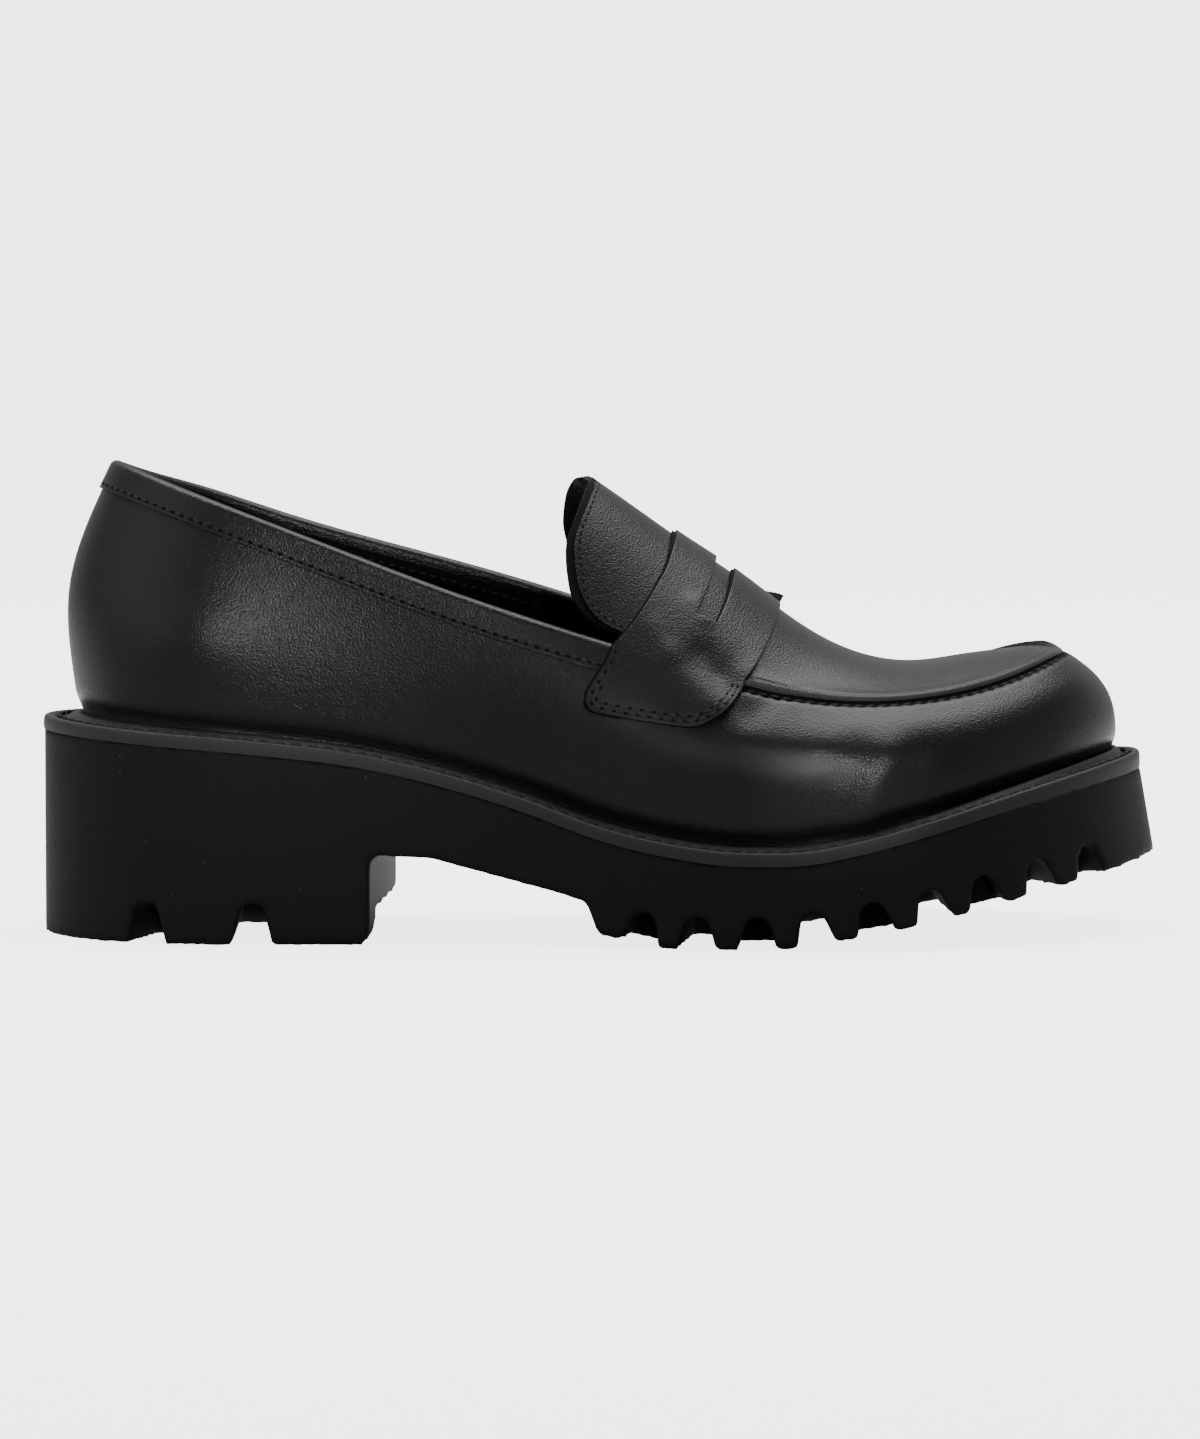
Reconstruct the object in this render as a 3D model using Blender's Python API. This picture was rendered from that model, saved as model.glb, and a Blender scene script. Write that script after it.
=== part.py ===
"""Lug-soled penny loafer, right shoe, EU 38, as an assembly of seven pieces.

Metres throughout the scene; the tables are in millimetres. +X points to the toe, -Y is the
lateral (outer) side, +Z is up, and the heel and the forefoot rest on z = 0.
"""
import math
from collections import namedtuple

import bmesh
import bpy
import numpy as np
from mathutils import Matrix, Vector

NAME = "loafer"
MM = 0.001

# Leather and clearances.
LEATHER = 2.0
GAP = 0.3
WALL_HANDLE = 0.49
CROWN_POWER = 2.2

# Raised lip of the apron seam: height, and the section rows over which it rises.
LIP_HEIGHT = 1.6
LIP_START = 7.56
LIP_FULL = 7.84

# Sections that the pieces begin and end on, counted along the section table.
THROAT = 6.42
TONGUE_FRONT = 6.38
BINDING_CLEAR = 0.03

# Saddle strap. Tab: height on the wall of its foot at the rear, and how much higher the foot is at
# the front; corners: their radii as shares of the strap's width. Slot: its middle section and half
# width at the ridge, how far its middle drifts forward at its ends, and the share where it ends.
STRAP_THICKNESS = 1.7
STRAP_GAP = 0.32
TAB_FOOT = 0.655
TAB_FOOT_RISE = 0.055
TAB_REAR_RADIUS = 0.12
TAB_FRONT_RADIUS = 0.20
TAB_CORNER_SLOPE = 0.9
SLOT_MIDDLE = 6.755
SLOT_HALF = 0.145
SLOT_DRIFT = 0.06
SLOT_END = 0.265
TONGUE_THICKNESS = 3.0
BINDING_THICKNESS = 0.8
BINDING_OUTSIDE = 6.3
BINDING_INSIDE = 5.0
INSOLE_THICKNESS = 3.0

# Sole unit.
BLOCK_HEIGHT = 70.0
BLOCK_DROP = 5.0
CUT_LENGTH = 150.0
CUT_WIDTH = 140.0
TOE_FLARE = 3.7
TOE_FLARE_DEPTH = 21.4
TOE_TOP = 41.5
BREAST_SLANT = 4.4
BREAST_PIVOT = -36.0
GROOVE_BOTTOM_WIDTH = 9.4
GROOVE_TOP_WIDTH = 5.6
GROOVE_OVERRUN = 12.0
HEEL_GROOVE = 10.3
TREAD_GROOVE = 8.0
BREAST_STEP = 7.2
BREAST_STEP_BACK = 9.0
BREAST_STEP_EDGE = -20.0

# One row for each section of the last, from the back of the heel to the tip of the toe.
# feather: where the upper meets the sole; ledge: how far the sole stands out past it;
# edge: the topline and, further forward, the apron seam; rise: how much higher the medial edge is;
# ridge: the top centre line; flare: outward lean of the wall at the feather, in degrees;
# lean: slope of the wall where it reaches the edge, in degrees above level.
Section = namedtuple(
    "Section",
    "place feather_x feather_lateral feather_medial ledge "
    "edge_x edge_lateral edge_medial edge_z rise ridge_x ridge_z flare lean",
)
SECTIONS = [
    Section("heel back", -129.6, 0.0, 0.0, 9.2, -121.4, 0.0, 0.0, 116.3, 0.0, -84.0, 130.0, 9, 64),
    Section("heel turn", -122.0, -18.5, 18.5, 7.5, -113.2, -14.5, 14.5, 113.8, -1.2, -77.0, 130.0, 8, 68),
    Section("heel side", -105.0, -28.3, 28.0, 6.2, -97.0, -24.3, 24.0, 108.0, -0.7, -63.0, 130.0, 7, 75),
    Section("seat", -82.0, -30.3, 29.0, 6.0, -75.0, -28.5, 27.5, 99.7, 0.1, -46.0, 129.0, 6, 84),
    Section("waist back", -58.0, -31.0, 26.5, 5.8, -50.0, -31.0, 29.5, 90.2, 2.4, -27.0, 125.5, 5, 86),
    Section("waist", -35.0, -32.3, 24.5, 5.8, -25.0, -33.0, 31.2, 81.5, 4.2, -7.5, 117.0, 5, 80),
    Section("instep", -12.0, -35.2, 25.5, 6.0, 2.0, -34.2, 32.0, 73.3, 4.2, 18.0, 99.4, 6, 66),
    Section("joint back", 17.0, -40.0, 31.5, 6.0, 24.0, -34.0, 32.0, 67.2, 2.5, 34.5, 88.4, 9, 54),
    Section("ball", 44.0, -42.1, 38.8, 6.0, 46.0, -33.0, 31.5, 62.0, 0.6, 55.0, 73.8, 12, 40),
    Section("tread", 68.0, -41.6, 42.2, 6.0, 66.0, -31.5, 31.0, 60.0, 0.0, 75.0, 67.7, 13, 30),
    Section("toe side", 92.0, -36.3, 40.6, 6.0, 86.0, -28.5, 29.5, 61.6, 0.0, 90.0, 69.1, 12, 30),
    Section("toe corner", 113.0, -23.0, 30.5, 6.2, 102.2, -19.5, 22.5, 65.4, 0.0, 101.0, 70.2, 10, 28),
    Section("toe turn", 124.7, -8.0, 18.5, 6.5, 112.2, -8.5, 13.0, 69.0, 0.0, 106.0, 70.8, 8, 28),
    Section("toe tip", 128.5, 5.0, 5.0, 6.6, 115.6, 2.5, 2.5, 70.0, 0.0, 108.0, 71.0, 7, 28),
]
LAST_ROW = len(SECTIONS) - 1
RING_ROWS = 2 * LAST_ROW

# Height of the top of the sole unit along the shoe.
SoleTop = namedtuple("SoleTop", "x z")
SOLE_TOP = [
    SoleTop(-140.0, 51.6), SoleTop(-110.0, 49.6), SoleTop(-84.0, 47.5), SoleTop(-60.0, 44.6),
    SoleTop(-40.0, 40.2), SoleTop(-20.0, 34.3), SoleTop(0.0, 27.2), SoleTop(18.0, 23.1),
    SoleTop(36.0, 21.2), SoleTop(50.0, 21.5), SoleTop(65.0, 24.3), SoleTop(82.0, 28.9),
    SoleTop(100.0, 34.0), SoleTop(118.0, 38.2), SoleTop(140.0, 42.2),
]

# Height of the tread under the forefoot: level on the floor, then the toe spring.
Tread = namedtuple("Tread", "x z")
TREAD = [
    Tread(-1.0, 3.6), Tread(6.0, 2.0), Tread(16.0, 0.0), Tread(44.0, 0.0), Tread(50.0, 0.8),
    Tread(58.0, 2.1), Tread(72.0, 4.5), Tread(88.0, 8.0), Tread(100.0, 11.0),
    Tread(114.0, 14.3), Tread(126.0, 17.0), Tread(141.0, 20.2),
]

# Roof of the arch between the heel breast and the forefoot.
Arch = namedtuple("Arch", "x z")
ARCH = [
    Arch(-58.4, 0.6), Arch(-57.2, 2.4), Arch(-56.8, 5.0), Arch(-56.8, 20.6), Arch(-55.0, 22.2),
    Arch(-42.0, 21.6), Arch(-25.0, 17.2), Arch(-10.0, 13.4), Arch(-3.2, 11.3), Arch(0.0, 3.0),
]

# Grooves between the lugs. x: where the groove meets the side; reach: how far it runs in from
# each side; slant: lean of the groove towards the toe as it runs in, in degrees.
Groove = namedtuple("Groove", "x lateral_reach medial_reach slant depth")
GROOVES = [
    Groove(-112.0, 24.0, 24.0, 18, HEEL_GROOVE),
    Groove(-85.5, 50.0, 12.0, 0, HEEL_GROOVE),
    Groove(9.5, 21.0, 21.0, 10, TREAD_GROOVE),
    Groove(23.8, 34.0, 34.0, 8, TREAD_GROOVE),
    Groove(38.5, 21.0, 21.0, 0, TREAD_GROOVE),
    Groove(53.3, 54.0, 20.0, 0, TREAD_GROOVE),
    Groove(67.8, 16.0, 24.0, 0, TREAD_GROOVE),
    Groove(82.8, 47.0, 20.0, -4, TREAD_GROOVE),
    Groove(95.8, 15.0, 24.0, -8, TREAD_GROOVE),
    Groove(108.8, 27.0, 24.0, -14, TREAD_GROOVE),
    Groove(120.5, 10.0, 12.0, -30, TREAD_GROOVE),
]

# Section of the welt, from the upper outwards. out: share of the way to its outer edge; z: height.
WeltPoint = namedtuple("WeltPoint", "out z")
WELT = [
    WeltPoint(1.0, 0.0), WeltPoint(1.0, 2.3), WeltPoint(0.92, 3.1), WeltPoint(0.72, 3.3),
    WeltPoint(0.64, 2.7), WeltPoint(0.56, 3.4), WeltPoint(0.40, 4.8), WeltPoint(0.22, 5.5),
    WeltPoint(0.05, 5.4), WeltPoint(0.0, 5.0), WeltPoint(0.0, 0.0),
]

# Free edge of the tongue: share of the way from the topline to the ridge, by section.
TongueEdge = namedtuple("TongueEdge", "row share")
TONGUE_EDGE = [
    TongueEdge(5.19, 0.95), TongueEdge(5.215, 0.75), TongueEdge(5.235, 0.63), TongueEdge(5.26, 0.49),
    TongueEdge(5.30, 0.33), TongueEdge(5.40, 0.18), TongueEdge(5.55, 0.12), TongueEdge(5.73, 0.085),
    TongueEdge(5.90, 0.075), TongueEdge(6.15, 0.075), TongueEdge(6.40, 0.075),
]

# Edges of the saddle strap: the sections that it begins and ends on, by height on the last.
StrapEdge = namedtuple("StrapEdge", "height rear front")
STRAP_EDGES = [
    StrapEdge(0.62, 5.89, 7.16), StrapEdge(0.76, 5.89, 7.26), StrapEdge(0.86, 5.93, 7.37),
    StrapEdge(0.96, 6.01, 7.48), StrapEdge(1.08, 6.08, 7.53), StrapEdge(1.22, 6.11, 7.54),
    StrapEdge(1.40, 6.11, 7.54), StrapEdge(1.65, 6.06, 7.52), StrapEdge(1.92, 6.02, 7.50),
    StrapEdge(2.00, 6.02, 7.50),
]

# Rows of the apron lip: share of the way from the seam to the ridge, and share of the lip's height.
LipPoint = namedtuple("LipPoint", "share part")
LIP = [
    LipPoint(0.0, 1.0), LipPoint(0.05, 1.0), LipPoint(0.12, 0.62), LipPoint(0.22, 0.25),
    LipPoint(0.4, 0.0), LipPoint(0.6, 0.0), LipPoint(0.8, 0.0), LipPoint(1.0, 0.0),
]

Finish = namedtuple("Finish", "name colour roughness")
FINISHES = {
    "lug_sole": Finish("sole_rubber", (0.012, 0.0125, 0.012, 1.0), 0.75),
    "welt": Finish("welt_leather", (0.022, 0.0225, 0.023, 1.0), 0.55),
    "insole": Finish("insole_lining", (0.014, 0.014, 0.014, 1.0), 0.7),
    "upper": Finish("upper_leather", (0.018, 0.0185, 0.0195, 1.0), 0.38),
    "tongue": Finish("tongue_leather", (0.018, 0.0185, 0.0195, 1.0), 0.38),
    "saddle_strap": Finish("strap_leather", (0.018, 0.0185, 0.0195, 1.0), 0.38),
    "collar_binding": Finish("binding_leather", (0.018, 0.0185, 0.0195, 1.0), 0.38),
}


def clear_scene():
    """Remove everything that the scene starts with."""
    for thing in list(bpy.data.objects):
        bpy.data.objects.remove(thing, do_unlink=True)


def make_collection(name):
    """Return a new collection under the scene."""
    group = bpy.data.collections.new(name)
    bpy.context.scene.collection.children.link(group)
    return group


def along(table, column, at):
    """Value of a table column at x, by a curve through its rows without overshoot."""
    xs = np.array([row[0] for row in table])
    ys = np.array([getattr(row, column) for row in table])
    at = np.clip(at, xs[0], xs[-1])
    steps = np.diff(ys) / np.diff(xs)
    slopes = np.concatenate([[steps[0]], (steps[:-1] + steps[1:]) / 2.0, [steps[-1]]])
    turning = np.concatenate([[False], steps[:-1] * steps[1:] <= 0.0, [False]])
    slopes[turning] = 0.0
    index = np.clip(np.searchsorted(xs, at, side="right") - 1, 0, len(xs) - 2)
    width = xs[index + 1] - xs[index]
    t = (at - xs[index]) / width
    return (
        (1 + 2 * t) * (1 - t) ** 2 * ys[index]
        + t * (1 - t) ** 2 * width * slopes[index]
        + t * t * (3 - 2 * t) * ys[index + 1]
        + t * t * (t - 1) * width * slopes[index + 1]
    )


def smooth_step(low, high, value):
    """Ease from 0 at low to 1 at high."""
    t = min(max((value - low) / (high - low), 0.0), 1.0)
    return t * t * (3 - 2 * t)


def ring_table():
    """Rows round the shoe: along the lateral side to the toe, and back along the medial side."""
    ring = []
    for lateral in (True, False):
        rows = SECTIONS[:-1] if lateral else SECTIONS[:0:-1]
        for row in rows:
            feather_y = row.feather_lateral if lateral else row.feather_medial
            edge_y = row.edge_lateral if lateral else row.edge_medial
            edge_z = row.edge_z if lateral else row.edge_z + row.rise
            middle = (row.edge_lateral + row.edge_medial) / 2.0
            ring.append([
                row.feather_x, feather_y, row.ledge, row.edge_x, edge_y, edge_z,
                row.ridge_x, middle, row.ridge_z, row.flare, row.lean,
            ])
    return np.array(ring)


RING = ring_table()


def ring_row(q):
    """Interpolated section at ring position q, which counts sections round the shoe."""
    index = int(math.floor(q))
    t = q - index
    before, start, end, after = (RING[(index + step) % RING_ROWS] for step in (-1, 0, 1, 2))
    return 0.5 * (
        2 * start + (end - before) * t
        + (2 * before - 5 * start + 4 * end - after) * t * t
        + (3 * start - before - 3 * end + after) * t ** 3
    )


def outward(q, first, second):
    """Level direction out of the shoe, from two columns of the ring."""
    step = 0.02
    travel = ring_row(q + step) - ring_row(q - step)
    direction = np.array([travel[second], -travel[first], 0.0])
    return direction / np.linalg.norm(direction)


def wall(q, v):
    """Point of the side wall: v is 0 at the feather and 1 at the edge."""
    row = ring_row(q)
    foot = np.array([row[0], row[1], float(along(SOLE_TOP, "z", row[0])) + GAP])
    edge = row[3:6]
    flare, lean = math.radians(row[9]), math.radians(row[10])
    up = np.array([0.0, 0.0, 1.0])
    rise = WALL_HANDLE * (edge[2] - foot[2])
    reach = WALL_HANDLE * np.linalg.norm(edge - foot)
    low = foot + rise * (math.sin(flare) * outward(q, 0, 1) + math.cos(flare) * up)
    high = edge - reach * (math.sin(lean) * up - math.cos(lean) * outward(q, 3, 4))
    u = 1.0 - v
    return u ** 3 * foot + 3 * u * u * v * low + 3 * u * v * v * high + v ** 3 * edge


def crown(q, share):
    """Point of the instep and apron: share is 0 at the edge and 1 at the ridge."""
    row = ring_row(q)
    edge, ridge = row[3:6], row[6:9]
    climb = 1.0 - (1.0 - share) ** CROWN_POWER
    return edge + (ridge - edge) * np.array([climb, share, climb])


def surface(q, v, lift=0.0):
    """Point of the last at height v (1 at the edge, 2 at the ridge), lifted off it."""
    shape, level = (wall, v) if v <= 1.0 else (crown, v - 1.0)
    point = shape(q, level)
    if lift == 0.0:
        return point
    step = 0.01
    if v >= 2.0:
        row = min(q, RING_ROWS - q, LAST_ROW - step)
        run = crown(row + step, 1.0) - crown(row - step, 1.0)
        normal = np.array([-run[2], 0.0, run[0]])
    else:
        across = shape(q, min(level + step, 1.0)) - shape(q, max(level - step, 0.0))
        run = shape(q + step, level) - shape(q - step, level)
        normal = np.cross(run, across)
    return point + lift * normal / np.linalg.norm(normal)


def lateral(row):
    """Ring position of a section on the lateral side."""
    return row


def medial(row):
    """Ring position of a section on the medial side."""
    return RING_ROWS - row


class Skin:
    """Faces gathered by their corner points and joined where the points agree."""

    def __init__(self):
        self.mesh = bmesh.new()
        self.corners = {}

    def corner(self, point):
        """Vertex at a point in millimetres, made once."""
        key = tuple(int(round(value * 1e4)) for value in point)
        if key not in self.corners:
            self.corners[key] = self.mesh.verts.new([value * MM for value in point])
        return self.corners[key]

    def face(self, *points):
        """Add one face, dropping corners that fall together."""
        corners = list(dict.fromkeys(self.corner(point) for point in points))
        if len(corners) >= 3 and self.mesh.faces.get(corners) is None:
            self.mesh.faces.new(corners)

    def strip(self, first, second, closed=False):
        """Add the faces between two lines of points of the same length."""
        count = len(first)
        for i in range(count if closed else count - 1):
            j = (i + 1) % count
            self.face(first[i], first[j], second[j], second[i])

    def grid(self, lines, closed=False):
        """Add the faces between successive lines of points."""
        for first, second in zip(lines, lines[1:]):
            self.strip(first, second, closed)

    def finish(self, name, collection):
        """Turn the gathered faces into an object with outward faces."""
        bmesh.ops.recalc_face_normals(self.mesh, faces=self.mesh.faces)
        data = bpy.data.meshes.new(name)
        self.mesh.to_mesh(data)
        self.mesh.free()
        body = bpy.data.objects.new(name, data)
        collection.objects.link(body)
        return body


def sheet(name, outside, inside, collection):
    """Solid between two grids of points of the same size, closed along its four sides."""
    skin = Skin()
    skin.grid(outside)
    skin.grid(inside)
    skin.strip(outside[0], inside[0])
    skin.strip(outside[-1], inside[-1])
    skin.strip([line[0] for line in outside], [line[0] for line in inside])
    skin.strip([line[-1] for line in outside], [line[-1] for line in inside])
    return skin.finish(name, collection)


def add_finish(body):
    """Give a piece its own material."""
    finish = FINISHES[body.name]
    material = bpy.data.materials.new(finish.name)
    material.use_nodes = True
    shader = material.node_tree.nodes["Principled BSDF"]
    shader.inputs["Base Color"].default_value = finish.colour
    shader.inputs["Roughness"].default_value = finish.roughness
    shader.inputs["Metallic"].default_value = 0.0
    material.diffuse_color = finish.colour
    body.data.materials.clear()
    body.data.materials.append(material)


def lip(row):
    """Height of the raised apron seam at a section."""
    return LIP_HEIGHT * smooth_step(LIP_START, LIP_FULL, row)


def build_upper(parts):
    """Hollow vamp, quarters and apron in one wall, open at the collar and underneath."""
    rear = [row / 2.0 for row in range(0, int(THROAT * 2) + 1)]
    rear[1:1] = [0.25]
    rear[3:3] = [0.75]
    front = sorted([THROAT, LIP_START] + [row / 3.0 for row in range(20, 3 * LAST_ROW + 1)])
    rows = rear + front
    ring = [lateral(row) for row in rows] + [medial(row) for row in rows[-2:0:-1]]
    heights = [0.0, 0.08, 0.2, 0.34, 0.5, 0.66, 0.82, 0.93, 1.0]
    skin = Skin()
    skins = []
    for lift in (0.0, -LEATHER):
        walls = [[surface(q, v, lift) for q in ring] for v in heights]
        skin.grid(walls, closed=True)
        covers = []
        for side in (lateral, medial):
            cover = []
            for row in front:
                raised = lip(row) if lift == 0.0 else 0.0
                line = [surface(side(row), 1.0, lift)]
                for share, part in LIP:
                    base = surface(side(row), 1.0 + share, lift) if share else line[0]
                    height = 1.0 + max(share, 0.01)
                    out = surface(side(row), height, 1.0) - surface(side(row), height)
                    line.append(base + raised * part * out)
                cover.append(line)
            skin.grid(cover)
            covers.append(cover)
        skins.append((walls, covers))
    (outer, outer_covers), (inner, inner_covers) = skins
    skin.strip(outer[0], inner[0], closed=True)
    first, last = len(rear), len(ring) - len(rear)
    topline = list(range(last, len(ring))) + list(range(0, first + 1))
    skin.strip([outer[-1][i] for i in topline], [inner[-1][i] for i in topline])
    for side in range(2):
        skin.strip(outer_covers[side][0], inner_covers[side][0])
    return skin.finish("upper", parts)


def crossing(row, low, shares, lift):
    """Points over the instep at a section, from one side of the ridge to the other."""
    near = [surface(lateral(row), 1.0 + low + (1.0 - low) * share, lift) for share in shares]
    far = [surface(medial(row), 1.0 + low + (1.0 - low) * share, lift) for share in shares[-2::-1]]
    return near + far


def build_tongue(parts):
    """Tongue that carries on the line of the apron up over the instep."""
    rows = [edge.row for edge in TONGUE_EDGE[:-1]] + [TONGUE_FRONT]
    shares = [0.0, 0.12, 0.28, 0.46, 0.64, 0.82, 1.0]
    lows = [float(along(TONGUE_EDGE, "share", row)) for row in rows]
    skins = []
    for lift in (0.0, -TONGUE_THICKNESS):
        skins.append([crossing(row, low, shares, lift) for row, low in zip(rows, lows)])
    return sheet("tongue", skins[0], skins[1], parts)


def tab_foot(share):
    """Height on the wall where the strap's tab ends, with its two corners rounded off."""
    foot = TAB_FOOT + TAB_FOOT_RISE * share
    for edge, radius in ((share, TAB_REAR_RADIUS), (1.0 - share, TAB_FRONT_RADIUS)):
        if edge < radius:
            foot += TAB_CORNER_SLOPE * radius * (1.0 - math.sqrt(1.0 - (1.0 - edge / radius) ** 2))
    return foot


def strap_line(share, lift):
    """Points over the strap, a share of the way from its rear edge to its front edge."""
    foot = tab_foot(share)
    heights = [foot + (1.0 - foot) * part for part in (0.0, 0.25, 0.5, 0.75)]
    heights += [1.0 + part for part in (0.001, 0.15, 0.3, 0.45, 0.6, 0.8, 1.0)]
    sides = []
    for side in (lateral, medial):
        line = []
        for height in heights:
            rear = float(along(STRAP_EDGES, "rear", height))
            front = float(along(STRAP_EDGES, "front", height))
            line.append(surface(side(rear + (front - rear) * share), height, lift))
        sides.append(line)
    return sides[0] + sides[1][-2::-1]


def slot_line(edge, lift):
    """Points along the rear (-1) or front (1) edge of the slot."""
    shares = [SLOT_END + (1.0 - SLOT_END) * step / 5.0 for step in range(6)]
    sides = []
    for side in (lateral, medial):
        line = []
        for share in shares:
            drift = SLOT_DRIFT * (1.0 - share) / (1.0 - SLOT_END)
            line.append(surface(side(SLOT_MIDDLE + drift + edge * SLOT_HALF), 1.0 + share, lift))
        sides.append(line)
    return sides[0] + sides[1][-2::-1]


def build_strap(parts, cutters):
    """Saddle strap laid over the instep, with the slot cut through it."""
    shares = [0.0, 0.03, 0.1, 0.22, 0.34, 0.46, 0.58, 0.7, 0.82, 0.92, 0.98, 1.0]
    top = STRAP_GAP + STRAP_THICKNESS
    skins = [[strap_line(share, lift) for share in shares] for lift in (top, STRAP_GAP)]
    strap = sheet("saddle_strap", skins[0], skins[1], parts)
    over = [slot_line(edge, top + 2.0) for edge in (-1.0, 1.0)]
    under = [slot_line(edge, -1.0) for edge in (-1.0, 1.0)]
    cut(strap, sheet("slot_cutter", over, under, cutters), "DIFFERENCE")
    return strap


def binding_end(q, height):
    """Ring position on the binding, held back from the strap's rear edge."""
    limit = float(along(STRAP_EDGES, "rear", height)) - BINDING_CLEAR
    return max(-limit, min(limit, q))


def binding_line(q, clear):
    """Points of the binding's section: up the quarter, over the topline and down the lining."""
    speed = np.linalg.norm(surface(q, 1.0) - surface(q, 0.99)) / 0.01
    outer = []
    for run in (BINDING_OUTSIDE, 4.0, 2.0, 0.4):
        height = 1.0 - run / speed
        outer.append(surface(binding_end(q, height), height, clear))
    top = binding_end(q, 1.0)
    edge = surface(top, 1.0)
    climb = edge - surface(top, 0.99)
    climb = climb / np.linalg.norm(climb)
    normal = surface(top, 1.0, 1.0) - edge
    centre = edge - normal * LEATHER / 2.0
    radius = LEATHER / 2.0 + clear
    fold = []
    for turn in (20.0, 65.0, 115.0, 160.0):
        angle = math.radians(turn)
        fold.append(centre + radius * (normal * math.cos(angle) + climb * math.sin(angle)))
    inner = []
    for run in (0.4, 2.5, BINDING_INSIDE):
        inner.append(surface(top, 1.0 - run / speed, -LEATHER - clear))
    return outer + fold + inner


def build_binding(parts):
    """Folded binding over the topline, from strap edge to strap edge round the heel."""
    rows = [0.0, 0.25, 0.5, 0.75, 1.0, 1.5, 2.0, 2.5, 3.0, 3.5, 4.0, 4.5, 5.0, 5.5, 5.8, 6.1]
    ring = [-row for row in rows[:0:-1]] + rows
    skins = [[binding_line(q, clear) for q in ring] for clear in (GAP + BINDING_THICKNESS, GAP)]
    return sheet("collar_binding", skins[0], skins[1], parts)


def sole_edge(q):
    """Plan point of the outer edge of the sole and welt."""
    row = ring_row(q)
    return row[0:2] + outward(q, 0, 1)[0:2] * row[2]


def build_welt(parts):
    """Stitched welt all round, with a raised bead along the upper."""
    skin = Skin()
    rings = []
    for q in [step / 3.0 for step in range(3 * RING_ROWS)]:
        row = ring_row(q)
        rim = sole_edge(q)
        floor = float(along(SOLE_TOP, "z", row[0])) + GAP
        rim_floor = float(along(SOLE_TOP, "z", rim[0])) + GAP
        speed = 3.0 * WALL_HANDLE * (row[5] - floor)
        loop = []
        for point in WELT:
            near = surface(q, max(point.z, 0.0) / speed, GAP)
            level = floor + (rim_floor - floor) * point.out
            plan = near[0:2] + (rim - near[0:2]) * point.out
            loop.append(np.array([plan[0], plan[1], level + point.z]))
        rings.append(loop)
    for first, second in zip(rings, rings[1:] + rings[:1]):
        skin.strip(first, second, closed=True)
    return skin.finish("welt", parts)


def prism(name, outline, depth, collection):
    """Solid from a flat outline in millimetres, extruded by depth equally to both sides."""
    curve = bpy.data.curves.new(name, "CURVE")
    curve.dimensions = "2D"
    curve.fill_mode = "BOTH"
    curve.extrude = depth * MM / 2.0
    spline = curve.splines.new("POLY")
    spline.points.add(len(outline) - 1)
    for point, (x, y) in zip(spline.points, outline):
        point.co = (x * MM, y * MM, 0.0, 1.0)
    spline.use_cyclic_u = True
    source = bpy.data.objects.new(name + "_outline", curve)
    bpy.context.scene.collection.objects.link(source)
    bpy.context.view_layer.update()
    shape = source.evaluated_get(bpy.context.evaluated_depsgraph_get())
    data = bpy.data.meshes.new_from_object(shape)
    data.name = name
    bpy.data.objects.remove(source, do_unlink=True)
    bpy.data.curves.remove(curve)
    mesh = bmesh.new()
    mesh.from_mesh(data)
    bmesh.ops.remove_doubles(mesh, verts=mesh.verts, dist=0.00001)
    bmesh.ops.recalc_face_normals(mesh, faces=mesh.faces)
    mesh.to_mesh(data)
    mesh.free()
    body = bpy.data.objects.new(name, data)
    collection.objects.link(body)
    return body


def side_prism(name, outline, depth, collection):
    """Prism whose outline is a side view: x along the shoe and z up."""
    body = prism(name, outline, depth, collection)
    body.data.transform(Matrix.Rotation(math.radians(90.0), 4, "X"))
    return body


def cut(body, tool, operation):
    """Apply a Boolean of one piece with a cutter."""
    tool.hide_render = True
    tool.display_type = "WIRE"
    change = body.modifiers.new(tool.name, "BOOLEAN")
    change.operation = operation
    change.solver = "EXACT"
    change.object = tool


def build_sole(parts, cutters):
    """Sole unit: heel, arch, forefoot with toe spring, and the lugs round its edge."""
    edge = [sole_edge(step / 4.0) for step in range(4 * RING_ROWS)]
    sole = prism("lug_sole", edge, BLOCK_HEIGHT, parts)
    sole.data.transform(Matrix.Translation((0.0, 0.0, (BLOCK_HEIGHT / 2.0 - BLOCK_DROP) * MM)))
    for corner in sole.data.vertices:
        depth = (TOE_TOP - corner.co.z / MM) / TOE_FLARE_DEPTH
        corner.co.x += TOE_FLARE * MM * depth * smooth_step(70.0, 128.0, corner.co.x / MM)

    stations = np.linspace(CUT_LENGTH, -CUT_LENGTH, 51)
    tops = [(x, float(along(SOLE_TOP, "z", x))) for x in stations]
    treads = [(-CUT_LENGTH, 0.0), (-20.0, 0.0), (-19.0, 3.4)]
    treads += [(row.x, row.z) for row in TREAD] + [(CUT_LENGTH, 22.2)]
    cut(sole, side_prism("sole_profile", tops + treads, CUT_WIDTH, cutters), "INTERSECT")

    first, last = ARCH[0], ARCH[-1]
    roof = [(first.x - 2.0, -4.0)] + [(row.x, row.z) for row in ARCH] + [(last.x + 1.6, -4.0)]
    arch = side_prism("arch_cutter", roof, CUT_WIDTH + 20.0, cutters)
    pivot = Vector((first.x * MM, BREAST_PIVOT * MM, 0.0))
    turn = Matrix.Rotation(math.radians(-BREAST_SLANT), 4, "Z")
    arch.data.transform(Matrix.Translation(pivot) @ turn @ Matrix.Translation(-pivot))
    cut(sole, arch, "DIFFERENCE")
    cut(sole, build_grooves(cutters), "DIFFERENCE")
    back, fore, side = first.x - BREAST_STEP_BACK, first.x + 20.0, 60.0
    corners = [(back, BREAST_STEP_EDGE), (fore, BREAST_STEP_EDGE), (fore, side), (back, side)]
    cut(sole, prism("breast_step", corners, 2.0 * BREAST_STEP, cutters), "DIFFERENCE")
    return sole


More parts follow.
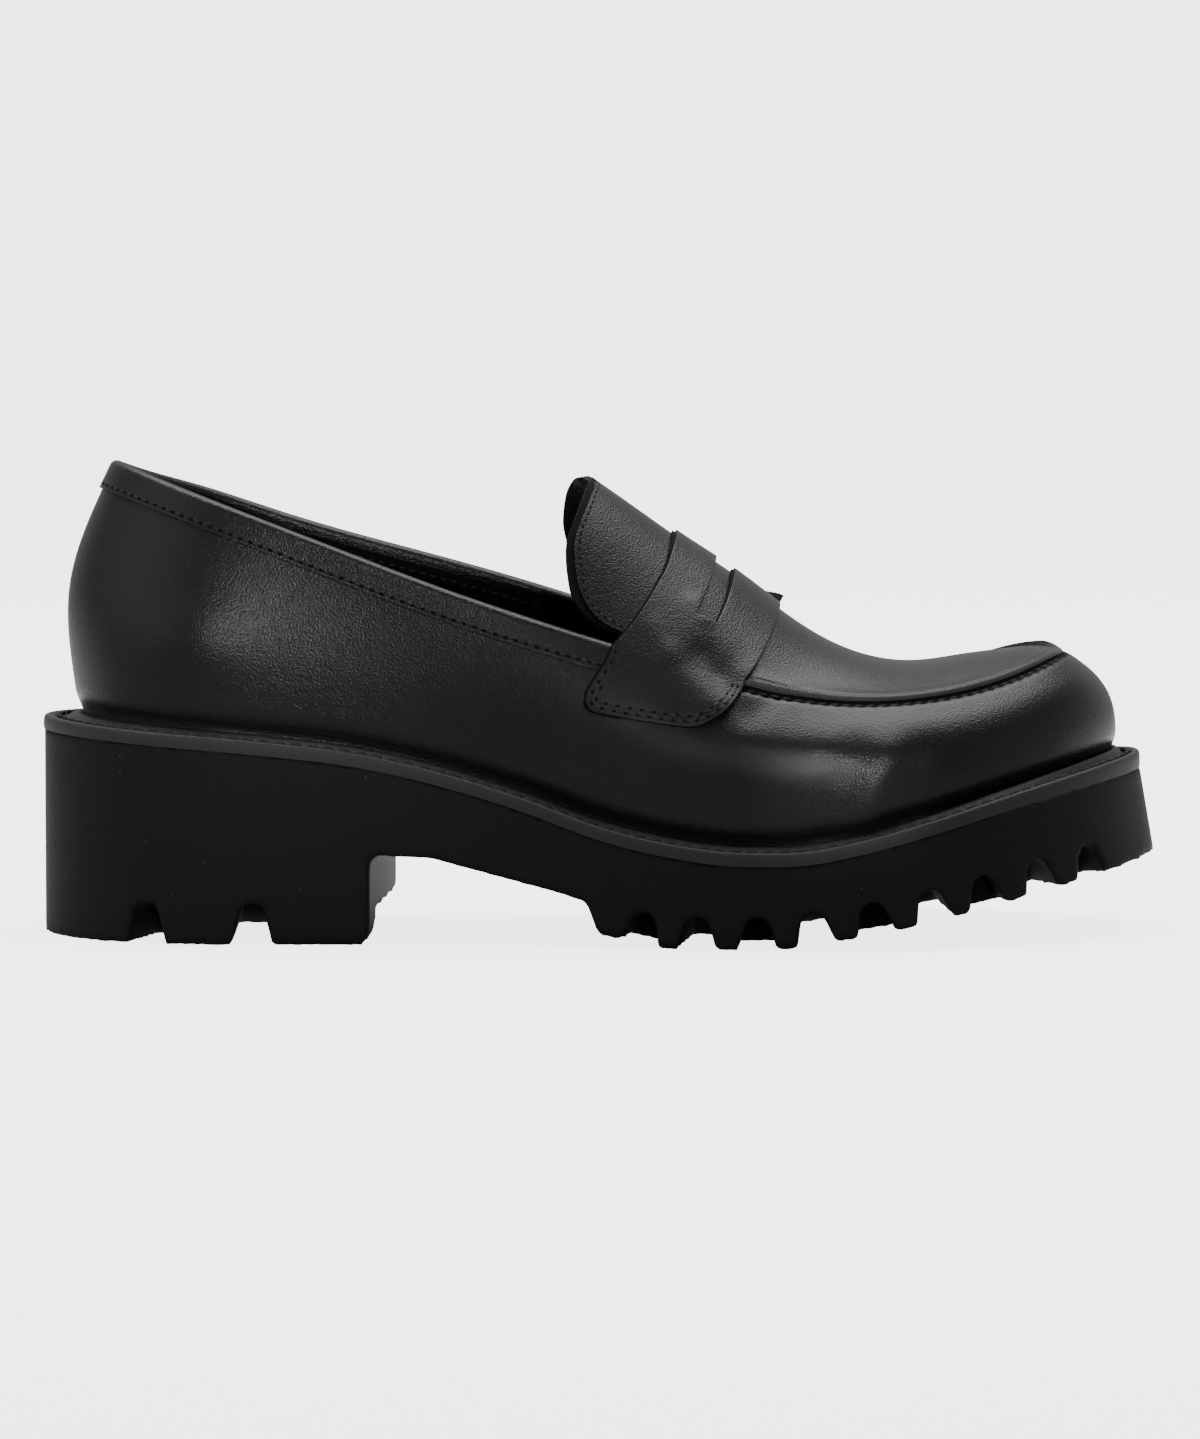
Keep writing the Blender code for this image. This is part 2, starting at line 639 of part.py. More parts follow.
def groove_outline(depth):
    """Section of a groove between two lugs: wide at the floor, with a rounded roof."""
    low, high = GROOVE_BOTTOM_WIDTH / 2.0, GROOVE_TOP_WIDTH / 2.0
    floor, shoulder = (low + 1.2, -4.0), (high + 0.3, depth - 2.6)
    half = [floor, shoulder, (high - 0.6, depth - 0.8), (high - 1.9, depth)]
    return half + [(-x, y) for x, y in half[::-1]]


def build_grooves(cutters):
    """All the grooves between the lugs as one cutter."""
    mesh = bmesh.new()
    for groove in GROOVES:
        sides = ((-1.0, lateral, groove.lateral_reach), (1.0, medial, groove.medial_reach))
        for side, position, reach in sides:
            rows = np.linspace(0.0, LAST_ROW, 261)
            edges = np.array([sole_edge(position(row)) for row in rows])
            start = edges[np.argmin(np.abs(edges[:, 0] - groove.x) + 1000.0 * (rows < 0.2))]
            tread_z = float(along(TREAD, "z", groove.x)) if groove.x > -20.0 else 0.0
            ahead = float(along(TREAD, "z", groove.x + 4.0)) if groove.x > -20.0 else 0.0
            length = reach + GROOVE_OVERRUN
            tool = side_prism("groove", groove_outline(groove.depth), length, cutters)
            inward = -side * (length / 2.0 - GROOVE_OVERRUN)
            tool.data.transform(Matrix.Translation((0.0, inward * MM, 0.0)))
            pitch = Matrix.Rotation(-math.atan2(ahead - tread_z, 4.0), 4, "Y")
            yaw = Matrix.Rotation(side * math.radians(groove.slant), 4, "Z")
            place = Matrix.Translation((start[0] * MM, start[1] * MM, tread_z * MM))
            tool.data.transform(place @ yaw @ pitch)
            mesh.from_mesh(tool.data)
            bpy.data.objects.remove(tool, do_unlink=True)
    data = bpy.data.meshes.new("groove_cutter")
    mesh.to_mesh(data)
    mesh.free()
    tool = bpy.data.objects.new("groove_cutter", data)
    cutters.objects.link(tool)
    return tool


def build_insole(parts, cutters):
    """Insole on top of the sole unit, inside the upper."""
    inset = LEATHER + 0.7
    edge = []
    for q in [step / 3.0 for step in range(3 * RING_ROWS)]:
        edge.append(ring_row(q)[0:2] - outward(q, 0, 1)[0:2] * inset)
    insole = prism("insole", edge, BLOCK_HEIGHT, parts)
    insole.data.transform(Matrix.Translation((0.0, 0.0, (BLOCK_HEIGHT / 2.0 - BLOCK_DROP) * MM)))
    xs = np.linspace(-CUT_LENGTH, CUT_LENGTH, 50)
    low = [(x, float(along(SOLE_TOP, "z", x)) + GAP) for x in xs]
    high = [(x, z + INSOLE_THICKNESS) for x, z in low[::-1]]
    cut(insole, side_prism("insole_profile", low + high, CUT_WIDTH, cutters), "INTERSECT")
    return insole


def build():
    """Make every piece of the shoe."""
    clear_scene()
    parts = make_collection(NAME)
    cutters = make_collection("cutters")
    cutters.hide_render = True
    pieces = [
        build_sole(parts, cutters),
        build_welt(parts),
        build_insole(parts, cutters),
        build_upper(parts),
        build_tongue(parts),
        build_strap(parts, cutters),
        build_binding(parts),
    ]
    for piece in pieces:
        add_finish(piece)


build()
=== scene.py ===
"""Dressing of a lug-soled penny loafer, right shoe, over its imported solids.

Sizes are in millimetres until a mesh is made. +X points to the toe, -Y is the lateral (outer)
side and +Z is up. A place on the leather is (q, v): q counts the sections of the last round the
shoe, from the back of the heel by the lateral side to the toe and home by the medial side, and
v climbs from the feather (0) by the topline or apron seam (1) to the ridge of the instep (2).
"""
from __future__ import annotations

import logging
import math
from abc import ABC, abstractmethod
from collections.abc import Sequence
from dataclasses import dataclass, field
from enum import Enum
from typing import Any, ClassVar, NamedTuple

import bmesh
import bpy
import numpy as np
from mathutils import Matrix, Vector, noise

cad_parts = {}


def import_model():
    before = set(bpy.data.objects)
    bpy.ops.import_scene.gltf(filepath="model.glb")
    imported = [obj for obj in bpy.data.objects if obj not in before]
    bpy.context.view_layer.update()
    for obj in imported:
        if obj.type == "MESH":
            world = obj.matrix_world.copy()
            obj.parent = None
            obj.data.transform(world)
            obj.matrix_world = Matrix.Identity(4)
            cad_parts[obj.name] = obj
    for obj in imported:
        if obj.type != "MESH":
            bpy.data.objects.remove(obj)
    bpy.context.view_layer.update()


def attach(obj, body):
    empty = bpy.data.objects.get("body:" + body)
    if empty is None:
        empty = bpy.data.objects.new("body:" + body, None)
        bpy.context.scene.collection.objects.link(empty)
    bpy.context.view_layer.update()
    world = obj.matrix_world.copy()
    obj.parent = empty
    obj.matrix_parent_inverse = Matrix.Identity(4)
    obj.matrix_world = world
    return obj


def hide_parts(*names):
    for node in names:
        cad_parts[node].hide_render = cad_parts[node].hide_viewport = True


LOG = logging.getLogger("loafer")
MM = 0.001
GAP = 0.3
ROOT = "root"
UP = np.array([0.0, 0.0, 1.0])

Colour = tuple[float, float, float]
WHITE = (1.0, 1.0, 1.0, 1.0)


class Section(NamedTuple):
    """One section of the last, in millimetres and degrees."""

    place: str
    feather_x: float
    feather_lateral: float
    feather_medial: float
    ledge: float
    edge_x: float
    edge_lateral: float
    edge_medial: float
    edge_z: float
    rise: float
    ridge_x: float
    ridge_z: float
    flare: float
    lean: float


SECTIONS = (
    Section("heel back", -129.6, 0.0, 0.0, 9.2, -121.4, 0.0, 0.0, 116.3, 0.0, -84.0, 130.0, 9, 64),
    Section("heel turn", -122.0, -18.5, 18.5, 7.5, -113.2, -14.5, 14.5, 113.8, -1.2, -77.0, 130.0, 8, 68),
    Section("heel side", -105.0, -28.3, 28.0, 6.2, -97.0, -24.3, 24.0, 108.0, -0.7, -63.0, 130.0, 7, 75),
    Section("seat", -82.0, -30.3, 29.0, 6.0, -75.0, -28.5, 27.5, 99.7, 0.1, -46.0, 129.0, 6, 84),
    Section("waist back", -58.0, -31.0, 26.5, 5.8, -50.0, -31.0, 29.5, 90.2, 2.4, -27.0, 125.5, 5, 86),
    Section("waist", -35.0, -32.3, 24.5, 5.8, -25.0, -33.0, 31.2, 81.5, 4.2, -7.5, 117.0, 5, 80),
    Section("instep", -12.0, -35.2, 25.5, 6.0, 2.0, -34.2, 32.0, 73.3, 4.2, 18.0, 99.4, 6, 66),
    Section("joint back", 17.0, -40.0, 31.5, 6.0, 24.0, -34.0, 32.0, 67.2, 2.5, 34.5, 88.4, 9, 54),
    Section("ball", 44.0, -42.1, 38.8, 6.0, 46.0, -33.0, 31.5, 62.0, 0.6, 55.0, 73.8, 12, 40),
    Section("tread", 68.0, -41.6, 42.2, 6.0, 66.0, -31.5, 31.0, 60.0, 0.3, 75.0, 67.5, 13, 30),
    Section("toe side", 92.0, -36.3, 40.6, 6.0, 86.0, -28.5, 29.5, 61.6, 1.4, 90.0, 68.8, 12, 30),
    Section("toe corner", 113.0, -23.0, 30.5, 6.2, 102.2, -19.5, 22.5, 65.4, 2.5, 101.0, 70.1, 10, 28),
    Section("toe turn", 124.7, -8.0, 18.5, 6.5, 112.2, -8.5, 13.0, 69.0, 1.2, 106.0, 70.7, 8, 28),
    Section("toe tip", 128.5, 5.0, 5.0, 6.6, 115.6, 2.5, 2.5, 70.0, -0.2, 108.0, 70.9, 7, 28),
)


class Station(NamedTuple):
    """A height at a distance along the shoe."""

    x: float
    z: float


SOLE_TOP = (
    Station(-140.0, 51.6), Station(-110.0, 49.6), Station(-84.0, 47.5), Station(-60.0, 44.6),
    Station(-40.0, 40.2), Station(-20.0, 34.3), Station(0.0, 27.2), Station(18.0, 23.1),
    Station(36.0, 21.2), Station(50.0, 21.5), Station(65.0, 24.3), Station(82.0, 28.9),
    Station(100.0, 34.0), Station(118.0, 38.2), Station(140.0, 42.2),
)
TREAD = (
    Station(-1.0, 3.6), Station(6.0, 2.0), Station(16.0, 0.0), Station(44.0, 0.0),
    Station(50.0, 0.8), Station(58.0, 2.1), Station(72.0, 4.5), Station(88.0, 8.0),
    Station(100.0, 11.0), Station(114.0, 14.3), Station(126.0, 17.0), Station(141.0, 20.2),
)
ARCH = (
    Station(-58.4, 0.6), Station(-57.2, 2.4), Station(-56.8, 5.0), Station(-56.8, 20.6),
    Station(-55.0, 22.2), Station(-42.0, 21.6), Station(-25.0, 17.2), Station(-10.0, 13.4),
    Station(-3.2, 11.3), Station(0.0, 3.0),
)


class Groove(NamedTuple):
    """A groove between two lugs: place on the edge, reach in from each side, slant and depth."""

    x: float
    lateral_reach: float
    medial_reach: float
    slant: float
    depth: float


HEEL_GROOVE = 10.3
TREAD_GROOVE = 8.0
GROOVES = (
    Groove(-112.0, 24.0, 24.0, 18, HEEL_GROOVE),
    Groove(-85.5, 50.0, 12.0, 0, HEEL_GROOVE),
    Groove(9.5, 21.0, 21.0, 10, TREAD_GROOVE),
    Groove(23.8, 34.0, 34.0, 8, TREAD_GROOVE),
    Groove(38.5, 21.0, 21.0, 0, TREAD_GROOVE),
    Groove(53.3, 54.0, 20.0, 0, TREAD_GROOVE),
    Groove(67.8, 16.0, 24.0, 0, TREAD_GROOVE),
    Groove(82.8, 47.0, 20.0, -4, TREAD_GROOVE),
    Groove(95.8, 15.0, 24.0, -8, TREAD_GROOVE),
    Groove(108.8, 27.0, 24.0, -14, TREAD_GROOVE),
    Groove(120.5, 10.0, 12.0, -30, TREAD_GROOVE),
)


class WeltPoint(NamedTuple):
    """A point of the welt's section: share of the way out from the upper, and height."""

    out: float
    z: float


WELT = (
    WeltPoint(0.0, -0.3), WeltPoint(0.0, 4.2), WeltPoint(0.03, 4.75), WeltPoint(0.09, 5.0),
    WeltPoint(0.17, 4.95), WeltPoint(0.25, 4.5), WeltPoint(0.33, 3.8), WeltPoint(0.40, 3.0),
    WeltPoint(0.46, 2.3), WeltPoint(0.54, 1.95), WeltPoint(0.62, 1.95), WeltPoint(0.68, 2.3),
    WeltPoint(0.72, 2.9), WeltPoint(0.76, 3.3), WeltPoint(0.84, 3.45), WeltPoint(0.93, 3.35),
    WeltPoint(0.98, 3.05), WeltPoint(1.01, 2.5), WeltPoint(1.025, 1.4), WeltPoint(1.03, 0.2),
    WeltPoint(1.02, -0.9), WeltPoint(0.96, -0.9),
)
# Points of the welt's section from this one on, its outer rim and face, take the lighter finish: partly a
# worn edge, partly painted light.
WELT_WORN_LIT_BAND = 12


class SeamPoint(NamedTuple):
    """A point of the apron seam's section: run from the seam up over the apron, and lift."""

    run: float
    lift: float


APRON_SEAM = (
    SeamPoint(-6.0, 0.0), SeamPoint(-3.6, 0.14), SeamPoint(-2.7, 0.12), SeamPoint(-2.15, -0.1),
    SeamPoint(-1.65, -0.5), SeamPoint(-1.15, -0.72), SeamPoint(-0.7, -0.6), SeamPoint(-0.4, -0.2),
    SeamPoint(-0.1, 0.25), SeamPoint(0.25, 0.62), SeamPoint(0.7, 0.88), SeamPoint(1.2, 0.96),
    SeamPoint(1.6, 0.88), SeamPoint(1.95, 0.5), SeamPoint(2.25, 0.45), SeamPoint(2.8, 0.5),
    SeamPoint(4.2, 0.26), SeamPoint(6.0, 0.06), SeamPoint(8.0, 0.0),
)
FAR_LIP = (
    SeamPoint(0.0, 0.0), SeamPoint(0.7, 0.22), SeamPoint(1.4, 0.36), SeamPoint(1.75, 0.10),
    SeamPoint(2.2, -0.55), SeamPoint(3.0, -0.50), SeamPoint(4.5, -0.25), SeamPoint(8.0, 0.0),
)


class TonguePoint(NamedTuple):
    """A point of the tongue's free edge: section, and share of the way up to the ridge."""

    row: float
    share: float


TONGUE_EDGE = (
    TonguePoint(5.262, 0.92), TonguePoint(5.270, 0.66), TonguePoint(5.279, 0.51),
    TonguePoint(5.291, 0.40), TonguePoint(5.311, 0.345), TonguePoint(5.361, 0.285),
    TonguePoint(5.427, 0.23), TonguePoint(5.512, 0.175), TonguePoint(5.65, 0.123),
    TonguePoint(5.78, 0.095), TonguePoint(5.925, 0.08), TonguePoint(6.15, 0.072),
    TonguePoint(6.38, 0.07),
)


class StrapEdge(NamedTuple):
    """Sections that the strap begins and ends on, at a height on the last."""

    height: float
    rear: float
    front: float


STRAP_EDGES = (
    StrapEdge(0.62, 5.89, 7.16), StrapEdge(0.76, 5.89, 7.26), StrapEdge(0.86, 5.93, 7.37),
    StrapEdge(0.96, 6.01, 7.48), StrapEdge(1.08, 6.08, 7.53), StrapEdge(1.22, 6.11, 7.54),
    StrapEdge(1.40, 6.11, 7.54), StrapEdge(1.65, 6.06, 7.52), StrapEdge(1.92, 6.02, 7.50),
    StrapEdge(2.00, 6.02, 7.50),
)


class Crease(NamedTuple):
    """A soft trough or ridge pressed into the leather, from one place to another."""

    start_q: float
    start_v: float
    end_q: float
    end_v: float
    width: float
    lift: float


VAMP_CREASES = (
    Crease(8.88, 0.14, 9.14, 0.56, 6.5, 0.75),
    Crease(9.32, 0.14, 9.54, 0.52, 7.0, -0.15),
    Crease(8.44, 0.10, 8.62, 0.40, 5.5, -0.42),
    Crease(7.55, 0.68, 8.45, 0.66, 6.0, 0.45),
    Crease(7.55, 0.32, 8.35, 0.28, 7.0, -0.30),
    Crease(8.18, 0.20, 8.40, 0.50, 8.0, -0.35),
    Crease(2.05, 0.37, 2.15, 0.41, 14.5, 1.30),
    Crease(7.58, 0.84, 7.85, 0.97, 5.0, -0.40),
    Crease(17.30, 0.20, 17.05, 0.58, 6.0, 0.45),
    Crease(16.90, 0.16, 16.70, 0.54, 7.0, -0.45),
)
STRAP_CREASES = (
    Crease(6.98, 1.07, 7.34, 0.95, 5.5, -0.60),
    Crease(6.62, 1.02, 7.07, 0.86, 7.0, 0.42),
    Crease(6.33, 1.12, 6.61, 1.03, 5.0, 0.30),
    Crease(6.60, 1.33, 6.80, 1.26, 3.5, 0.30),
    Crease(19.02, 1.07, 18.66, 0.95, 5.5, -0.60),
    Crease(19.38, 1.02, 18.93, 0.86, 7.0, 0.42),
)


class Side(Enum):
    """Side of the shoe."""

    LATERAL = "lateral"
    MEDIAL = "medial"

    def ring(self, row: np.ndarray | float, count: int) -> np.ndarray | float:
        """Ring position of a section on this side, out of the count of them."""
        return row if self is Side.LATERAL else count - row


class Line(Enum):
    """Line round the shoe, by its first column in a section's numbers."""

    FEATHER = 0
    EDGE = 3


class WallFinish(Enum):
    """Finish of a face of the upper, by its material slot; the lip's finish is partly its cut edge and
    partly a painted highlight, and the groove's is painted shade.
    """

    LEATHER = 0
    LIP_EDGE_AND_HIGHLIGHT = 1
    GROOVE_PAINTED_SHADE = 2
    LINING = 3


# Bands of run about the apron seam and their finishes: leather, the groove darkened as painted shade, the
# lip lightened as cut edge and painted highlight, leather again.
SEAM_BANDS = (-1.6, -0.25, 0.85)
SEAM_FINISHES = (WallFinish.LEATHER, WallFinish.GROOVE_PAINTED_SHADE, WallFinish.LIP_EDGE_AND_HIGHLIGHT, WallFinish.LEATHER)


def ease(low: float, high: float, value: np.ndarray | float) -> np.ndarray:
    """Ease from 0 at low to 1 at high.

    Args:
        low: Value at which the result leaves 0.
        high: Value at which the result reaches 1.
        value: Number or array to ease.

    Returns:
        The eased values, as an array.
    """
    t = np.clip((np.asarray(value, float) - low) / (high - low), 0.0, 1.0)
    return t * t * (3.0 - 2.0 * t)


def unit(vectors: np.ndarray) -> np.ndarray:
    """Vectors of length one along the last axis; a zero vector stays zero."""
    length = np.linalg.norm(vectors, axis=-1, keepdims=True)
    return vectors / np.where(length > 1e-9, length, 1.0)


def run_length(points: np.ndarray, axis: int = 0) -> np.ndarray:
    """Distance along lines of points, from the first point of each.

    Args:
        points: Array of points, with the coordinates on its last axis.
        axis: Axis along which the points follow each other.

    Returns:
        Distances, with the shape of the points less their last axis.
    """
    steps = np.linalg.norm(np.diff(points, axis=axis), axis=-1)
    start = np.zeros_like(np.take(steps, [0], axis=axis))
    return np.concatenate([start, np.cumsum(steps, axis=axis)], axis=axis)


class Curve:
    """Curve through rows of (at, value) that never overshoots them."""

    def __init__(self, rows: Sequence[tuple[float, float]]) -> None:
        """Keep the rows and work out the slope at each."""
        self.at = np.array([row[0] for row in rows], float)
        self.value = np.array([row[1] for row in rows], float)
        steps = np.diff(self.value) / np.diff(self.at)
        self.slope = np.concatenate([steps[:1], (steps[:-1] + steps[1:]) / 2.0, steps[-1:]])
        turning = np.concatenate([[False], steps[:-1] * steps[1:] <= 0.0, [False]])
        self.slope[turning] = 0.0

    def __call__(self, at: np.ndarray | float) -> np.ndarray:
        """Value of the curve, held level past its ends."""
        at = np.clip(np.asarray(at, float), self.at[0], self.at[-1])
        index = np.clip(np.searchsorted(self.at, at, side="right") - 1, 0, len(self.at) - 2)
        width = self.at[index + 1] - self.at[index]
        t = (at - self.at[index]) / width
        return (
            (1 + 2 * t) * (1 - t) ** 2 * self.value[index]
            + t * (1 - t) ** 2 * width * self.slope[index]
            + t * t * (3 - 2 * t) * self.value[index + 1]
            + t * t * (t - 1) * width * self.slope[index + 1]
        )


class Last:
    """The foot form that every leather piece lies on."""

    HANDLE: ClassVar[float] = 0.49
    CROWN_POWER: ClassVar[float] = 2.2
    TUCK: ClassVar[float] = 1.1

    def __init__(self, sections: Sequence[Section]) -> None:
        """Lay the sections out as a ring round the shoe and fit a smooth curve to it."""
        lateral = [self._numbers(row, Side.LATERAL) for row in sections[:-1]]
        medial = [self._numbers(row, Side.MEDIAL) for row in sections[:0:-1]]
        self.rows = np.array(lateral + medial)
        self.count = len(self.rows)
        self.toe = len(sections) - 1
        same = np.eye(self.count)
        system = 4.0 * same + np.roll(same, 1, axis=0) + np.roll(same, -1, axis=0)
        turn = np.roll(self.rows, -1, axis=0) - 2.0 * self.rows + np.roll(self.rows, 1, axis=0)
        self.bends = np.linalg.solve(system, 6.0 * turn)
        self.sole_top = Curve(SOLE_TOP)

    @staticmethod
    def _numbers(row: Section, side: Side) -> list[float]:
        """Numbers of one section on one side of the shoe."""
        middle = (row.edge_lateral + row.edge_medial) / 2.0
        if side is Side.LATERAL:
            feather_y, edge_y, edge_z = row.feather_lateral, row.edge_lateral, row.edge_z
        else:
            feather_y, edge_y, edge_z = row.feather_medial, row.edge_medial, row.edge_z + row.rise
        feather = [row.feather_x, feather_y, row.ledge]
        edge = [row.edge_x, edge_y, edge_z]
        return feather + edge + [row.ridge_x, middle, row.ridge_z, row.flare, row.lean]

    def row(self, q: np.ndarray | float) -> np.ndarray:
        """Section numbers at ring positions q."""
        q = np.asarray(q, float)
        index = np.floor(q).astype(int)
        t = (q - index)[..., None]
        u = 1.0 - t
        here, there = index % self.count, (index + 1) % self.count
        bend = (u ** 3 - u) * self.bends[here] + (t ** 3 - t) * self.bends[there]
        return u * self.rows[here] + t * self.rows[there] + bend / 6.0

    def outward(self, q: np.ndarray | float, line: Line) -> np.ndarray:
        """Level directions out of the shoe, square to a line round it.

        Args:
            q: Ring positions.
            line: The line that the directions stand square to.

        Returns:
            Unit vectors.
        """
        q = np.asarray(q, float)
        travel = self.row(q + 0.02) - self.row(q - 0.02)
        x, y = travel[..., line.value], travel[..., line.value + 1]
        return unit(np.stack([y, -x, 0.0 * q], axis=-1))

    def wall(self, q: np.ndarray, v: np.ndarray) -> np.ndarray:
        """Points of the side wall, from the feather (v 0) to the edge (v 1)."""
        row = self.row(q)
        foot = np.stack([row[..., 0], row[..., 1], self.sole_top(row[..., 0]) + GAP], axis=-1)
        edge = row[..., 3:6]
        flare, lean = np.radians(row[..., 9:10]), np.radians(row[..., 10:11])
        rise = self.HANDLE * (edge - foot)[..., 2:3]
        reach = self.HANDLE * np.linalg.norm(edge - foot, axis=-1, keepdims=True)
        low = foot + rise * (np.sin(flare) * self.outward(q, Line.FEATHER) + np.cos(flare) * UP)
        high = edge - reach * (np.sin(lean) * UP - np.cos(lean) * self.outward(q, Line.EDGE))
        v = np.asarray(v, float)[..., None]
        u = 1.0 - v
        return u ** 3 * foot + 3 * u * u * v * low + 3 * u * v * v * high + v ** 3 * edge

    def crown(self, q: np.ndarray, share: np.ndarray) -> np.ndarray:
        """Points of the instep and apron, from the edge (share 0) to the ridge (share 1)."""
        row = self.row(q)
        edge, ridge = row[..., 3:6], row[..., 6:9]
        share = np.asarray(share, float) + 0.0 * np.asarray(q, float)
        climb = 1.0 - (1.0 - share) ** self.CROWN_POWER
        return edge + (ridge - edge) * np.stack([climb, share, climb], axis=-1)

    def point(self, q: np.ndarray, v: np.ndarray) -> np.ndarray:
        """Points of the leather's outside at places (q, v)."""
        q, v = np.broadcast_arrays(np.asarray(q, float), np.asarray(v, float))
        low = self.wall(q, np.minimum(v, 1.0))
        high = self.crown(q, np.maximum(v, 1.0) - 1.0)
        return np.where((v <= 1.0)[..., None], low, high)

    def below_edge(self, q: np.ndarray, runs: np.ndarray) -> np.ndarray:
        """Heights v on the wall at distances below its edge.

        Args:
            q: Ring positions, one for each line down the wall.
            runs: Distances below the edge, as shares of the wall's own length where negative.

        Returns:
            Heights, one row for each ring position.
        """
        samples = np.linspace(1.0, 0.0, 121)
        lines = run_length(self.wall(q[:, None], samples[None, :]), axis=1)
        heights = []
        for line in lines:
            wanted = np.where(runs < 0.0, -runs * line[-1], runs)
            heights.append(np.interp(wanted, line, samples))
        return np.array(heights)

    def normal(self, q: np.ndarray, v: np.ndarray) -> np.ndarray:
        """Directions out of the leather at places (q, v)."""
        step = 0.02
        q, v = np.broadcast_arrays(np.asarray(q, float), np.asarray(v, float))
        along = self.point(q + step, v) - self.point(q - step, v)
        across = self.point(q, np.minimum(v + step, 2.0)) - self.point(q, np.maximum(v - step, 0.0))
        return unit(np.cross(along, across))

    def pressed(self, creases: Sequence[Crease], points: np.ndarray) -> np.ndarray:
        """Lift of soft troughs and ridges at points of the leather.

        Args:
            creases: Creases in the places (q, v) that they run between.
            points: Points of the leather.

        Returns:
            Lift at each point, in millimetres.
        """
        lift = np.zeros(points.shape[:-1])
        for crease in creases:
            start = self.point(crease.start_q, crease.start_v)
            way = self.point(crease.end_q, crease.end_v) - start
            share = np.clip((points - start) @ way / np.dot(way, way), 0.0, 1.0)
            near = np.linalg.norm(points - start - share[..., None] * way, axis=-1)
            lift += crease.lift * np.exp(-2.0 * (near / crease.width) ** 2)
        return lift

    def tucked(self, height: np.ndarray | float) -> np.ndarray:
        """How far the leather is drawn in over the welt, at heights above the sole."""
        return self.TUCK * ease(1.5, 3.5, height) * (1.0 - ease(3.9, 9.0, height))

    def drawn_in(self, q: np.ndarray, points: np.ndarray) -> np.ndarray:
        """Lines of points up the wall, one for each ring position, drawn in over the welt."""
        height = points[..., 2] - points[:, :1, 2]
        return points - self.outward(q, Line.FEATHER)[:, None] * self.tucked(height)[..., None]

    def edge_of_sole(self, q: np.ndarray) -> np.ndarray:
        """Plan points of the outer edge of the sole and welt."""
        row = self.row(q)
        return row[..., 0:2] + self.outward(q, Line.FEATHER)[..., 0:2] * row[..., 2:3]

    def spaced(self, start: float, end: float, pitch: float, line: Line) -> np.ndarray:
        """Ring positions evenly spaced along a line round the shoe.

        Args:
            start: First ring position.
            end: Last ring position.
            pitch: Wanted distance between neighbours.
            line: The line measured.

        Returns:
            Ring positions from start to end.
        """
        fine = np.linspace(start, end, 2001)
        run = run_length(self.row(fine)[:, line.value:line.value + 2])
        count = max(2, int(round(run[-1] / pitch)) + 1)
        return np.interp(np.linspace(0.0, run[-1], count), run, fine)


def directions(points: np.ndarray) -> np.ndarray:
    """Outward directions of a grid of points, from its neighbours."""
    return unit(np.cross(np.gradient(points, axis=0), np.gradient(points, axis=1)))


def soften(points: np.ndarray, reach: int, axis: int) -> np.ndarray:
    """Rounded copy of a grid of points, with its ends kept.

    Args:
        points: Grid of points.
        reach: How many neighbours on each side share in a point.
        axis: Axis along which the points are averaged.

    Returns:
        Grid of the same shape.
    """
    lines = np.moveaxis(points, axis, 0)
    count = len(lines)
    result = np.zeros_like(lines)
    for index in range(count):
        span = min(reach, index, count - 1 - index)
        result[index] = lines[index - span:index + span + 1].mean(axis=0)
    return np.moveaxis(result, 0, axis)


